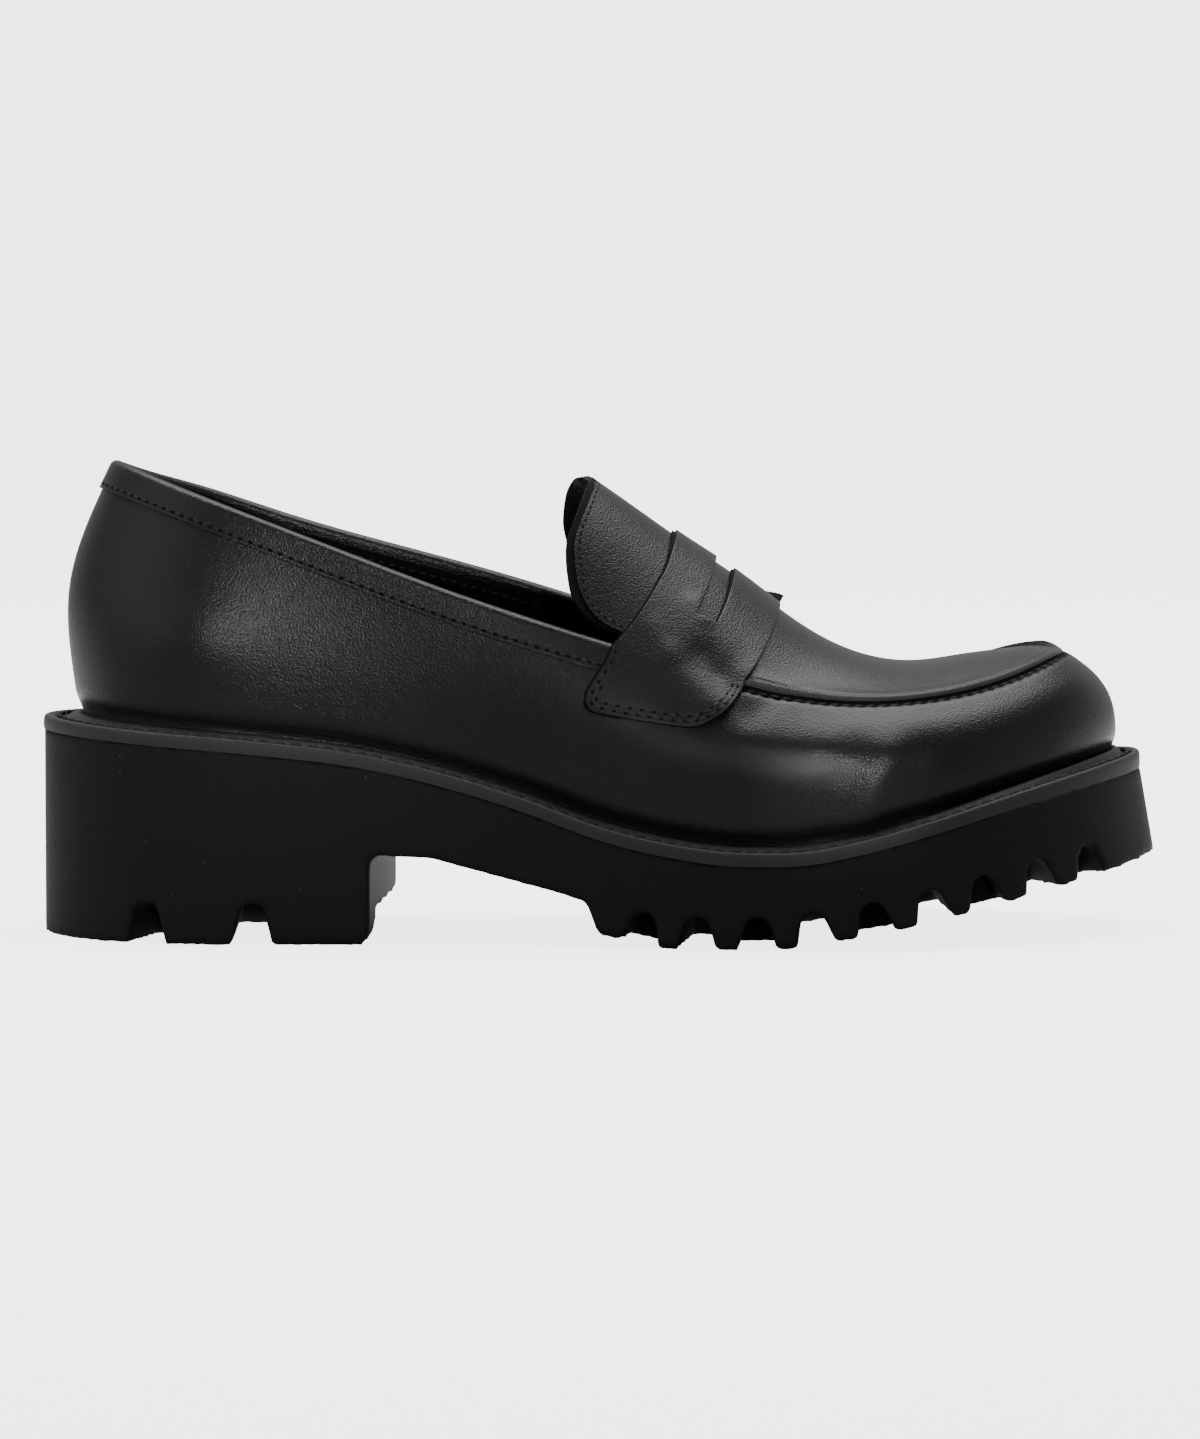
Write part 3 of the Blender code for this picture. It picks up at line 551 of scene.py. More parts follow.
class Workbench:
    """Blender's own tools, as every piece here uses them."""

    @staticmethod
    def clear() -> None:
        """Leave edit mode and drop the selection."""
        if bpy.context.object is not None and bpy.context.object.mode != "OBJECT":
            bpy.ops.object.mode_set(mode="OBJECT")
        bpy.ops.object.select_all(action="DESELECT")

    @staticmethod
    def take(piece: bpy.types.Object) -> None:
        """Select one piece alone and make it the active one."""
        Workbench.clear()
        piece.select_set(True)
        bpy.context.view_layer.objects.active = piece

    @staticmethod
    def grid(name: str, points: np.ndarray) -> bpy.types.Object:
        """Sheet from a grid primitive whose corners are moved to the points.

        Args:
            name: Name of the new piece.
            points: Points in millimetres, as (columns, rows, 3).

        Returns:
            The new piece.
        """
        columns, rows = points.shape[:2]
        Workbench.clear()
        bpy.ops.mesh.primitive_grid_add(x_subdivisions=columns - 1, y_subdivisions=rows - 1, size=1.0)
        piece = bpy.context.object
        piece.name = name
        piece.data.name = name
        flat = np.empty(len(piece.data.vertices) * 3)
        piece.data.vertices.foreach_get("co", flat)
        place = flat.reshape(-1, 3) + 0.5
        column = np.rint(place[:, 0] * (columns - 1)).astype(int)
        row = np.rint(place[:, 1] * (rows - 1)).astype(int)
        piece.data.vertices.foreach_set("co", (points[column, row] * MM).ravel())
        piece.data.update()
        return piece

    @staticmethod
    def join(name: str, pieces: Sequence[bpy.types.Object], merge: float = 0.01) -> bpy.types.Object:
        """One piece from several, with corners that fall together merged.

        Args:
            name: Name of the joined piece.
            pieces: Pieces to join; one alone is only merged.
            merge: Distance in millimetres under which corners are one.

        Returns:
            The joined piece.
        """
        Workbench.take(pieces[0])
        for piece in pieces[1:]:
            piece.select_set(True)
        if len(pieces) > 1:
            bpy.ops.object.join()
        whole = bpy.context.object
        whole.name = name
        bpy.ops.object.mode_set(mode="EDIT")
        bpy.ops.mesh.select_all(action="SELECT")
        bpy.ops.mesh.remove_doubles(threshold=merge * MM)
        bpy.ops.object.mode_set(mode="OBJECT")
        return whole

    @staticmethod
    def prism(name: str, outline: np.ndarray, travel: Sequence[float]) -> bpy.types.Object:
        """Solid from a filled outline that is extruded.

        Args:
            name: Name of the new piece.
            outline: Corner points in millimetres.
            travel: Way that the outline is extruded, in millimetres.

        Returns:
            The new piece, with its faces outwards.
        """
        Workbench.clear()
        bpy.ops.mesh.primitive_circle_add(vertices=len(outline), fill_type="NGON")
        piece = bpy.context.object
        piece.name = name
        for corner, point in zip(piece.data.vertices, outline):
            corner.co = Vector(point) * MM
        bpy.ops.object.mode_set(mode="EDIT")
        bpy.ops.mesh.select_all(action="SELECT")
        move = {"value": tuple(value * MM for value in travel)}
        bpy.ops.mesh.extrude_region_move(TRANSFORM_OT_translate=move)
        bpy.ops.mesh.select_all(action="SELECT")
        bpy.ops.mesh.normals_make_consistent(inside=False)
        bpy.ops.object.mode_set(mode="OBJECT")
        return piece

    @staticmethod
    def modify(piece: bpy.types.Object, kind: str, **settings: Any) -> None:
        """Add a modifier with its settings and apply it."""
        Workbench.take(piece)
        change = piece.modifiers.new(kind.lower(), kind)
        for key, value in settings.items():
            setattr(change, key, value)
        bpy.ops.object.modifier_apply(modifier=change.name)

    @staticmethod
    def thicken(
        piece: bpy.types.Object, thickness: float, inner: int = 0, rim: int = 0, even: bool = True,
    ) -> None:
        """Give a sheet its thickness inwards.

        Args:
            piece: The sheet.
            thickness: Thickness in millimetres.
            inner: How many material slots the inside's finish lies after the outside's.
            rim: How many the rim's lies after it.
            even: Whether the normals are worked out with care, for an even wall.
        """
        Workbench.modify(
            piece, "SOLIDIFY", thickness=thickness * MM, offset=-1.0, use_quality_normals=even,
            material_offset=inner, material_offset_rim=rim,
        )

    @staticmethod
    def cut(piece: bpy.types.Object, tool: bpy.types.Object, operation: str) -> None:
        """Cut a piece with a tool, and throw the tool away."""
        Workbench.modify(piece, "BOOLEAN", object=tool, operation=operation, solver="EXACT")
        bpy.data.objects.remove(tool, do_unlink=True)

    @staticmethod
    def round_edges(piece: bpy.types.Object, width: float, degrees: float, material: int = -1) -> None:
        """Bevel a piece's sharp edges.

        Args:
            piece: The piece.
            width: Width of the bevel in millimetres.
            degrees: Angle over which an edge counts as sharp.
            material: Material slot of the bevels, or -1 for that of the faces beside them.
        """
        Workbench.modify(
            piece, "BEVEL", width=width * MM, segments=2, limit_method="ANGLE",
            angle_limit=math.radians(degrees), material=material,
        )

    @staticmethod
    def smooth(piece: bpy.types.Object, degrees: float) -> None:
        """Shade a piece smooth, except over edges sharper than an angle."""
        Workbench.take(piece)
        bpy.ops.object.shade_smooth_by_angle(angle=math.radians(degrees))


class Value:
    """A shader number whose arithmetic adds Math nodes."""

    def __init__(self, bench: ShaderBench, socket: bpy.types.NodeSocket) -> None:
        """Wrap an output socket."""
        self.bench = bench
        self.socket = socket

    def __add__(self, other: Value | float) -> Value:
        """Sum."""
        return self.bench.math("ADD", self, other)

    def __radd__(self, other: float) -> Value:
        """Sum, from the right."""
        return self.bench.math("ADD", other, self)

    def __sub__(self, other: Value | float) -> Value:
        """Difference."""
        return self.bench.math("SUBTRACT", self, other)

    def __rsub__(self, other: float) -> Value:
        """Difference, from the right."""
        return self.bench.math("SUBTRACT", other, self)

    def __mul__(self, other: Value | float) -> Value:
        """Product."""
        return self.bench.math("MULTIPLY", self, other)

    def __rmul__(self, other: float) -> Value:
        """Product, from the right."""
        return self.bench.math("MULTIPLY", other, self)

    def eased(self, low: float, high: float) -> Value:
        """This number eased from 0 at low to 1 at high."""
        settings = {"interpolation_type": "SMOOTHSTEP"}
        node = self.bench.add("ShaderNodeMapRange", settings, {0: self, 1: low, 2: high})
        return Value(self.bench, node.outputs[0])


class ShaderBench:
    """The nodes of one material, or of the world."""

    def __init__(self, owner: bpy.types.Material | bpy.types.World) -> None:
        """Start with the owner's own shader alone."""
        self.owner = owner
        owner.use_nodes = True
        self.tree = owner.node_tree
        named = "Background" if isinstance(owner, bpy.types.World) else "Principled BSDF"
        self.shader = self.tree.nodes[named]
        coordinates = self.add("ShaderNodeTexCoord", {}, {})
        self.place = coordinates.outputs["Object"]
        self.heading = coordinates.outputs["Generated"]

    @classmethod
    def named(cls, name: str) -> ShaderBench:
        """Bench of a new material."""
        return cls(bpy.data.materials.new(name))

    def add(self, kind: str, settings: dict[str, Any], inputs: dict[int | str, Any]) -> bpy.types.Node:
        """Add a node.

        Args:
            kind: Type name of the node.
            settings: Properties of the node, set before its sockets.
            inputs: Values or links by socket name or number.

        Returns:
            The new node.
        """
        node = self.tree.nodes.new(kind)
        for key, value in settings.items():
            setattr(node, key, value)
        for key, value in inputs.items():
            self.feed(node.inputs[key], value)
        return node

    def feed(self, socket: bpy.types.NodeSocket, value: Any) -> None:
        """Link or set a socket."""
        if isinstance(value, Value):
            value = value.socket
        if isinstance(value, bpy.types.NodeSocket):
            self.tree.links.new(value, socket)
        else:
            socket.default_value = value

    def math(self, operation: str, first: Value | float, second: Value | float) -> Value:
        """Result of a Math node."""
        node = self.add("ShaderNodeMath", {"operation": operation}, {0: first, 1: second})
        return Value(self, node.outputs[0])

    def noise(self, size: float, detail: float = 3.0, place: Any = None) -> Value:
        """Soft noise from 0 to 1.

        Args:
            size: Width of its larger patches in millimetres.
            detail: Octaves of finer noise.
            place: Coordinates, the object's own by default.

        Returns:
            The noise.
        """
        inputs = {"Vector": place or self.place, "Scale": 1.0 / (size * MM), "Detail": detail}
        node = self.add("ShaderNodeTexNoise", {}, inputs)
        return Value(self, node.outputs["Fac"])

    def cells(self, size: float) -> bpy.types.Node:
        """Voronoi cells of about a size in millimetres."""
        inputs = {"Vector": self.place, "Scale": 1.0 / (size * MM)}
        return self.add("ShaderNodeTexVoronoi", {"feature": "F1"}, inputs)

    def wander(self, size: float, reach: float) -> bpy.types.NodeSocket:
        """Object coordinates pushed about by noise.

        Args:
            size: Width of the noise's patches in millimetres.
            reach: How far a place is pushed, in millimetres.

        Returns:
            The pushed coordinates.
        """
        inputs = {"Vector": self.place, "Scale": 1.0 / (size * MM), "Detail": 1.0}
        drift = self.add("ShaderNodeTexNoise", {}, inputs)
        push = {0: drift.outputs["Color"], 1: (reach * MM,) * 3, 2: self.place}
        moved = self.add("ShaderNodeVectorMath", {"operation": "MULTIPLY_ADD"}, push)
        return moved.outputs[0]

    def camera_ray(self) -> Value:
        """1 where the camera looks straight at the surface, 0 for every other ray of light."""
        return Value(self, self.add("ShaderNodeLightPath", {}, {}).outputs["Is Camera Ray"])

    def mix(self, factor: Value | float, first: Any, second: Any) -> bpy.types.NodeSocket:
        """Colour between two colours."""
        node = self.add("ShaderNodeMix", {"data_type": "RGBA"}, {0: factor, 6: first, 7: second})
        return node.outputs[2]

    def bump(self, height: Value, depth: float) -> None:
        """Raise the surface by a height of 0 to 1 times a depth in millimetres."""
        inputs = {"Height": height, "Distance": depth * MM, "Strength": 1.0}
        node = self.add("ShaderNodeBump", {}, inputs)
        self.feed(self.shader.inputs["Normal"], node.outputs[0])

    def set(self, **inputs: Any) -> None:
        """Feed the shader's sockets, with _ for the spaces in their names."""
        for key, value in inputs.items():
            self.feed(self.shader.inputs[key.replace("_", " ")], value)


def shade(colour: Colour, factor: float = 1.0) -> tuple[float, float, float, float]:
    """Colour with alpha, lightened or darkened by a factor."""
    return (colour[0] * factor, colour[1] * factor, colour[2] * factor, 1.0)


@dataclass(frozen=True)
class Leather:
    """Black calf leather with a fine pressed grain and a satin finish."""

    name: str
    colour: Colour = (0.0078, 0.0081, 0.0084)
    roughness: float = 0.26
    grain: float = 0.48
    relief: float = 0.13

    def material(self) -> bpy.types.Material:
        """Make the material.

        Returns:
            Leather with grain, pores and a little unevenness in colour and gloss.
        """
        bench = ShaderBench.named(self.name)
        pebble = bench.noise(self.grain, 1.5, bench.wander(2.2, 0.5))
        broad = bench.noise(26.0, 2.0)
        height = pebble + bench.noise(4.5, 2.0) * 0.3
        tone = broad * 0.5 + bench.noise(3.0, 2.0) * 0.25 + pebble * 0.25
        bench.set(
            Base_Color=bench.mix(tone, shade(self.colour, 0.72), shade(self.colour, 1.32)),
            Roughness=self.roughness + broad * 0.06 + (1.0 - pebble) * 0.06,
            Specular_IOR_Level=0.5,
        )
        bench.bump(height, self.relief)
        return bench.owner


@dataclass(frozen=True)
class Rubber:
    """Matte black sole rubber with tiny pale specks and a moulded skin."""

    name: str
    colour: Colour = (0.0065, 0.0067, 0.0064)
    speck: Colour = (0.09, 0.095, 0.09)
    roughness: float = 0.58

    def material(self) -> bpy.types.Material:
        """Make the material.

        Returns:
            Rubber with a fine skin, scattered specks and soft patches.
        """
        bench = ShaderBench.named(self.name)
        spots = bench.cells(1.6)
        chance = bench.add("ShaderNodeSeparateColor", {}, {"Color": spots.outputs["Color"]})
        chosen = Value(bench, chance.outputs[0]).eased(0.90, 1.0)
        small = 1.0 - Value(bench, spots.outputs["Distance"]).eased(0.06, 0.17)
        specks = chosen * small
        patches = bench.noise(18.0, 3.0)
        skin = bench.noise(0.5, 3.0)
        rubber = bench.mix(patches, shade(self.colour, 0.8), shade(self.colour, 1.25))
        bench.set(
            Base_Color=bench.mix(specks, rubber, shade(self.speck)),
            Roughness=self.roughness + patches * 0.12,
            Specular_IOR_Level=0.36,
        )
        bench.bump(skin * 0.6 + bench.noise(2.5, 2.0) * 0.6, 0.06)
        return bench.owner


@dataclass(frozen=True)
class Suede:
    """Rough flesh side or lining leather, dull and fibrous."""

    name: str
    colour: Colour = (0.030, 0.030, 0.0305)
    roughness: float = 0.85
    relief: float = 0.18

    def material(self) -> bpy.types.Material:
        """Make the material.

        Returns:
            Dull leather with short fibres.
        """
        bench = ShaderBench.named(self.name)
        fibres = bench.noise(0.7, 4.0, bench.wander(1.5, 1.0))
        patches = bench.noise(9.0, 2.0)
        bench.set(
            Base_Color=bench.mix(fibres, shade(self.colour, 0.6), shade(self.colour, 1.5)),
            Roughness=self.roughness - 0.05 + patches * 0.1,
            Specular_IOR_Level=0.25,
        )
        bench.bump(fibres, self.relief)
        return bench.owner


@dataclass(frozen=True)
class Thread:
    """Waxed black thread."""

    name: str
    colour: Colour = (0.006, 0.006, 0.0065)
    roughness: float = 0.5

    def material(self) -> bpy.types.Material:
        """Make the material.

        Returns:
            Thread with a fine twist.
        """
        bench = ShaderBench.named(self.name)
        twist = bench.noise(0.25, 1.0)
        bench.set(
            Base_Color=bench.mix(twist, shade(self.colour, 0.6), shade(self.colour, 1.5)),
            Roughness=self.roughness + twist * 0.15,
        )
        bench.bump(twist, 0.05)
        return bench.owner


class Wardrobe:
    """The finishes of the shoe, each made once."""

    def __init__(self) -> None:
        """Make every material."""
        self.leather = Leather("black_calf").material()
        # The welt's outer face is lighter than its bead: partly a worn edge, partly painted light on the
        # face turned to the front.
        strip = Leather("welt_edge_worn_and_painted_light", (0.034, 0.035, 0.0355), roughness=0.46)
        self.strip = strip.material()
        # The apron lip's leather is far lighter than the calf: partly its cut edge, partly a painted
        # highlight on the lip's face.
        self.lip = Leather("apron_lip_cut_edge_and_painted_highlight", (0.060, 0.061, 0.062), roughness=0.45).material()
        self.bead = Leather("welt_bead_leather", (0.010, 0.010, 0.0105), roughness=0.40).material()
        self.lining = Suede("lining_leather", (0.0035, 0.0035, 0.0037), relief=0.04).material()
        self.suede = Suede("flesh_side").material()
        # Dark stain of cut edges and of the tongue backing's face; the same material is painted shade in
        # the apron seam's groove, on the strap's curled corner and on the sheet under the strap.
        self.edge = Suede("stained_edge_and_painted_shade", (0.004, 0.004, 0.004), relief=0.05).material()
        self.rubber = Rubber("matte_rubber").material()
        self.thread = Thread("waxed_thread").material()
        # Near-black discs for the needle holes: painted shade of the holes, which are not cut.
        self.hole = Suede("needle_hole_painted_shade", (0.0012, 0.0012, 0.0012), relief=0.01).material()


@dataclass(frozen=True)
class StitchRow:
    """Sizes of a row of stitches, in millimetres."""

    pitch: float = 2.8
    length: float = 1.9
    width: float = 0.62
    proud: float = 0.22
    # Length and width of the near-black disc laid as painted shade for each needle hole.
    hole: float = 1.15
    hole_width: float = 0.7

    def sew(self, name: str, path: np.ndarray, up: np.ndarray, wardrobe: Wardrobe) -> bpy.types.Object:
        """Lay stitches and their needle holes along a path; the holes are near-black discs, painted shade
        of the holes.

        Args:
            name: Name of the new piece.
            path: Points of the path on the surface.
            up: Direction out of the surface at each point.
            wardrobe: The shoe's finishes.

        Returns:
            All the stitches of the row as one piece.
        """
        corners, faces = self._bead()
        line, travel = run_length(path), np.gradient(path, axis=0)
        count = max(1, int(round(line[-1] / self.pitch)))
        step = line[-1] / count
        middles = (np.arange(count) + 0.5) * step
        needle = np.arange(count + 1) * step
        thread_size = np.array([self.length, self.width, 2.0 * self.proud]) / 2.0
        hole_size = np.array([self.hole, self.hole_width, 0.12]) / 2.0
        all_corners: list[np.ndarray] = []
        all_faces: list[list[int]] = []
        slots: list[int] = []
        for slot, (places, size) in enumerate(((middles, thread_size), (needle, hole_size))):
            for place in places:
                centre, out = self._at(line, path, place), self._at(line, up, place)
                along = unit(self._at(line, travel, place))
                out = unit(out - along * np.dot(out, along))
                axes = np.stack([along, np.cross(out, along), out])
                start = len(all_corners) * len(corners)
                all_corners.append(centre + (corners * size) @ axes)
                all_faces.extend([start + index for index in face] for face in faces)
                slots.extend([slot] * len(faces))
        data = bpy.data.meshes.new(name)
        data.from_pydata((np.concatenate(all_corners) * MM).tolist(), [], all_faces)
        data.materials.append(wardrobe.thread)
        data.materials.append(wardrobe.hole)
        data.polygons.foreach_set("material_index", slots)
        data.polygons.foreach_set("use_smooth", [True] * len(slots))
        piece = bpy.data.objects.new(name, data)
        bpy.context.scene.collection.objects.link(piece)
        return piece

    @staticmethod
    def _at(line: np.ndarray, data: np.ndarray, place: float) -> np.ndarray:
        """Values of data at a distance along a line."""
        return np.array([np.interp(place, line, data[:, axis]) for axis in range(3)])

    @staticmethod
    def _bead() -> tuple[np.ndarray, list[list[int]]]:
        """Corners and faces of one blunt bead, two units long on each axis."""
        Workbench.clear()
        lying = (0.0, math.pi / 2.0, 0.0)
        bpy.ops.mesh.primitive_uv_sphere_add(segments=8, ring_count=5, radius=1.0, rotation=lying)
        bpy.ops.object.transform_apply(location=False, rotation=True, scale=False)
        bead = bpy.context.object
        corners = np.array([corner.co for corner in bead.data.vertices])
        corners[:, 0] = np.sign(corners[:, 0]) * np.abs(corners[:, 0]) ** 0.7
        faces = [list(face.vertices) for face in bead.data.polygons]
        bpy.data.objects.remove(bead, do_unlink=True)
        return corners, faces


@dataclass
class Assembly(ABC):
    """A sub-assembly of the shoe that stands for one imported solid."""

    last: Last
    wardrobe: Wardrobe
    pieces: list[bpy.types.Object] = field(default_factory=list, init=False)
    node: ClassVar[str]
    slot: ClassVar[str]

    @abstractmethod
    def build(self) -> None:
        """Make the meshes, the one that stands for the solid first."""

    @abstractmethod
    def dress(self) -> None:
        """Give the meshes their finishes."""

    def mount(self) -> None:
        """Make every piece ride on the shoe, and hide the solid that they stand for."""
        for piece in self.pieces:
            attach(piece, ROOT)
            LOG.info("%s: %d faces", piece.name, len(piece.data.polygons))
        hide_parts(self.node)

    @staticmethod
    def reserve(piece: bpy.types.Object, count: int) -> None:
        """Give a piece empty material slots, for modifiers to number its faces by."""
        for _ in range(count):
            piece.data.materials.append(None)

    @staticmethod
    def paint(piece: bpy.types.Object, *materials: bpy.types.Material) -> None:
        """Fill a piece's material slots in order."""
        for index, material in enumerate(materials):
            if index < len(piece.data.materials):
                piece.data.materials[index] = material
            else:
                piece.data.materials.append(material)


@dataclass
class Upper(Assembly):
    """Vamp, quarters and apron in one wall, with the raised apron seam."""

    node: ClassVar[str] = "upper"
    slot: ClassVar[str] = "upper_leather"
    throat: float = 6.42
    leather: float = 2.0
    lip_start: float = 7.30
    lip_full: float = 7.52
    tip_flat: float = 0.5
    lip_cells: int = 24
    front_pitch: float = 0.78
    rear_pitch: float = 1.8
    scallop_pitch: float = 3.0
    scallop: float = 0.40
    tip_rows: tuple[float, float] = (11.9, 12.9)
    far_lip_rise: tuple[float, float] = (9.8, 11.2)
    far_lip_fall: tuple[float, float] = (12.0, 12.9)
    tip_crowd: float = 2.5
    tip_merge: float = 0.6
    thread_depth: float = 0.75

    def build(self) -> None:
        """Make the wall and the stitches of its seams."""
        home = self.last.count - self.throat
        front = self.last.spaced(self.throat, home, self.front_pitch, Line.EDGE)
        rear = self.last.spaced(home - self.last.count, self.throat, self.rear_pitch, Line.EDGE)
        runs = np.array([0.0, 0.2, 0.4, 0.65, 0.9, 1.2, 1.5, 1.85, 2.2, 2.6, 3.1, 3.8, 4.8, 6.2])
        rest = np.linspace(0.19, 1.0, 25)
        below = np.concatenate([runs, -rest])
        pieces = [self._front(front, below), self._rear(rear, below)]
        skin = Workbench.join("upper_skin", pieces, merge=0.12)
        self._close_tip(skin)
        self.reserve(skin, len(WallFinish))
        marks = skin.data.attributes["lip"]
        for face, mark in zip(skin.data.polygons, marks.data):
            face.material_index = mark.value
        skin.data.attributes.remove(marks)
        lining = WallFinish.LINING.value
        Workbench.thicken(skin, self.leather, inner=lining, rim=lining)
        Workbench.smooth(skin, 55.0)
        self.pieces = [skin, self._seam_stitches(front)]

    def _front(self, q: np.ndarray, below: np.ndarray) -> bpy.types.Object:
        """Vamp and apron, from the feather up to the ridge."""
        low = self.last.below_edge(q, below)[:, ::-1]
        near = np.array([0.1, 0.25, 0.45, 0.7, 1.0, 1.35, 1.6, 1.85, 2.1, 2.4, 3.1, 4.0, 5.2])
        line = self._crown_length(q)
        fine = np.minimum(near[None, :], near[None, :] * 0.7 * line[:, None] / near[-1]) / line[:, None]
        rest = np.linspace(0.0, 1.0, 17)[1:]
        high = np.concatenate([fine, fine[:, -1:] + (1.0 - fine[:, -1:]) * rest[None, :]], axis=1)
        v = np.concatenate([low, 1.0 + high], axis=1)
        points = self.last.point(q[:, None], v)
        run = run_length(points, axis=1)
        seam = low.shape[1] - 1
        ridge = self.last.row(q)[:, 6:9]
        half = len(q) // 2
        travel = np.gradient(ridge[:half + 1], axis=0)
        travel[:, 0] = np.maximum(travel[:, 0], 0.05)
        above = unit(np.stack([-travel[:, 2], 0.0 * travel[:, 0], travel[:, 0]], axis=1))
        above = np.concatenate([above, above[-2::-1] if len(q) % 2 else above[::-1]])
        off_ridge = ease(0.5, 5.0, run[:, -1:] - run)[..., None]
        out = unit(directions(points) * off_ridge + above[:, None] * (1.0 - off_ridge))
        run = run - run[:, seam:seam + 1]
        wavy = run + self._scallops(run, points[:, seam])
        lift = self._seam_lift(q, run, wavy)
        lift[:, -1] = (lift[:, -1] + lift[::-1, -1]) / 2.0
        lift += self.last.pressed(VAMP_CREASES, points)
        front = Workbench.grid("upper_front", self.last.drawn_in(q, points) + out * lift[..., None])
        # Faces about the seam are marked for painted finishes: painted shade in the groove, and a lighter
        # lip that is partly cut edge and partly painted highlight.
        marks = front.data.attributes.new("lip", "INT", "FACE")
        for face in front.data.polygons:
            corners = [(corner % len(q), corner // len(q)) for corner in face.vertices]
            if self.lip_cells < corners[0][0] < len(q) - self.lip_cells:
                middle = np.mean([wavy[corner] for corner in corners])
                finish = SEAM_FINISHES[int(np.digitize(middle, SEAM_BANDS))]
                marks.data[face.index].value = finish.value
        return front

    def _close_tip(self, skin: bpy.types.Object) -> None:
        """Merge the corners that crowd together where the ridge of the apron ends."""
        tip = Vector(self.last.row(float(self.last.toe))[6:9]) * MM
        mesh = bmesh.new()
        mesh.from_mesh(skin.data)
        crowd = [corner for corner in mesh.verts if (corner.co - tip).length < self.tip_crowd * MM]
        bmesh.ops.remove_doubles(mesh, verts=crowd, dist=self.tip_merge * MM)
        mesh.to_mesh(skin.data)
        mesh.free()

    def _crown_length(self, q: np.ndarray) -> np.ndarray:
        """Length over the apron from the seam to the ridge."""
        return run_length(self.last.crown(q[:, None], np.linspace(0.0, 1.0, 41)[None, :]), axis=1)[:, -1]

    def _scallops(self, run: np.ndarray, seam: np.ndarray) -> np.ndarray:
        """Waves of the vamp's edge in the groove, as the stitches draw it in."""
        phase = 2.0 * math.pi * run_length(seam) / self.scallop_pitch
        reach = ease(-3.4, -1.9, run) * (1.0 - ease(-1.1, -0.4, run))
        return self.scallop * np.cos(phase)[:, None] * reach

    def _seam_lift(self, q: np.ndarray, run: np.ndarray, wavy: np.ndarray) -> np.ndarray:
        """Lift of the leather at the apron seam.

        Args:
            q: Ring positions.
            run: Distances up from the seam.
            wavy: The same distances, shifted by the scallops.

        Returns:
            Lift at each point.
        """
        row = np.minimum(q, self.last.count - q)
        strength = ease(self.lip_start, self.lip_full, row)
        strength = strength * (1.0 - self.tip_flat * ease(*self.tip_rows, row))
        far = ease(*self.far_lip_rise, row) * (1.0 - ease(*self.far_lip_fall, row))
        far = far * (q > self.last.toe)
        return strength[:, None] * Curve(APRON_SEAM)(wavy) + far[:, None] * Curve(FAR_LIP)(run)

    def _rear(self, q: np.ndarray, below: np.ndarray) -> bpy.types.Object:
        """Quarters, from the feather up to the topline."""
        v = self.last.below_edge(q, below)[:, ::-1]
        points = self.last.point(q[:, None], v)
        lift = self.last.pressed(VAMP_CREASES, points)
        pressed = self.last.drawn_in(q, points) + directions(points) * lift[..., None]
        return Workbench.grid("upper_rear", pressed)

    def _seam_stitches(self, q: np.ndarray) -> bpy.types.Object:
        """Thread in the groove of the apron seam."""
        row = np.minimum(q, self.last.count - q)
        q = q[row > self.lip_full]
        v = self.last.below_edge(q, np.array([1.6, 1.1, 0.6]))
        points = self.last.point(q[:, None], v)
        out = directions(points)[:, 1]
        stitches = StitchRow(pitch=self.scallop_pitch, length=2.3, width=0.8, proud=0.35)
        path = points[:, 1] - self.thread_depth * out
        return stitches.sew("apron_seam_stitches", path, out, self.wardrobe)

    def dress(self) -> None:
        """Give the wall its leather outside, with the lip lighter (its cut edge and a painted highlight)
        and the groove dark (painted shade), and its lining inside.
        """
        finishes = self.wardrobe
        self.paint(self.pieces[0], finishes.leather, finishes.lip, finishes.edge, finishes.lining)


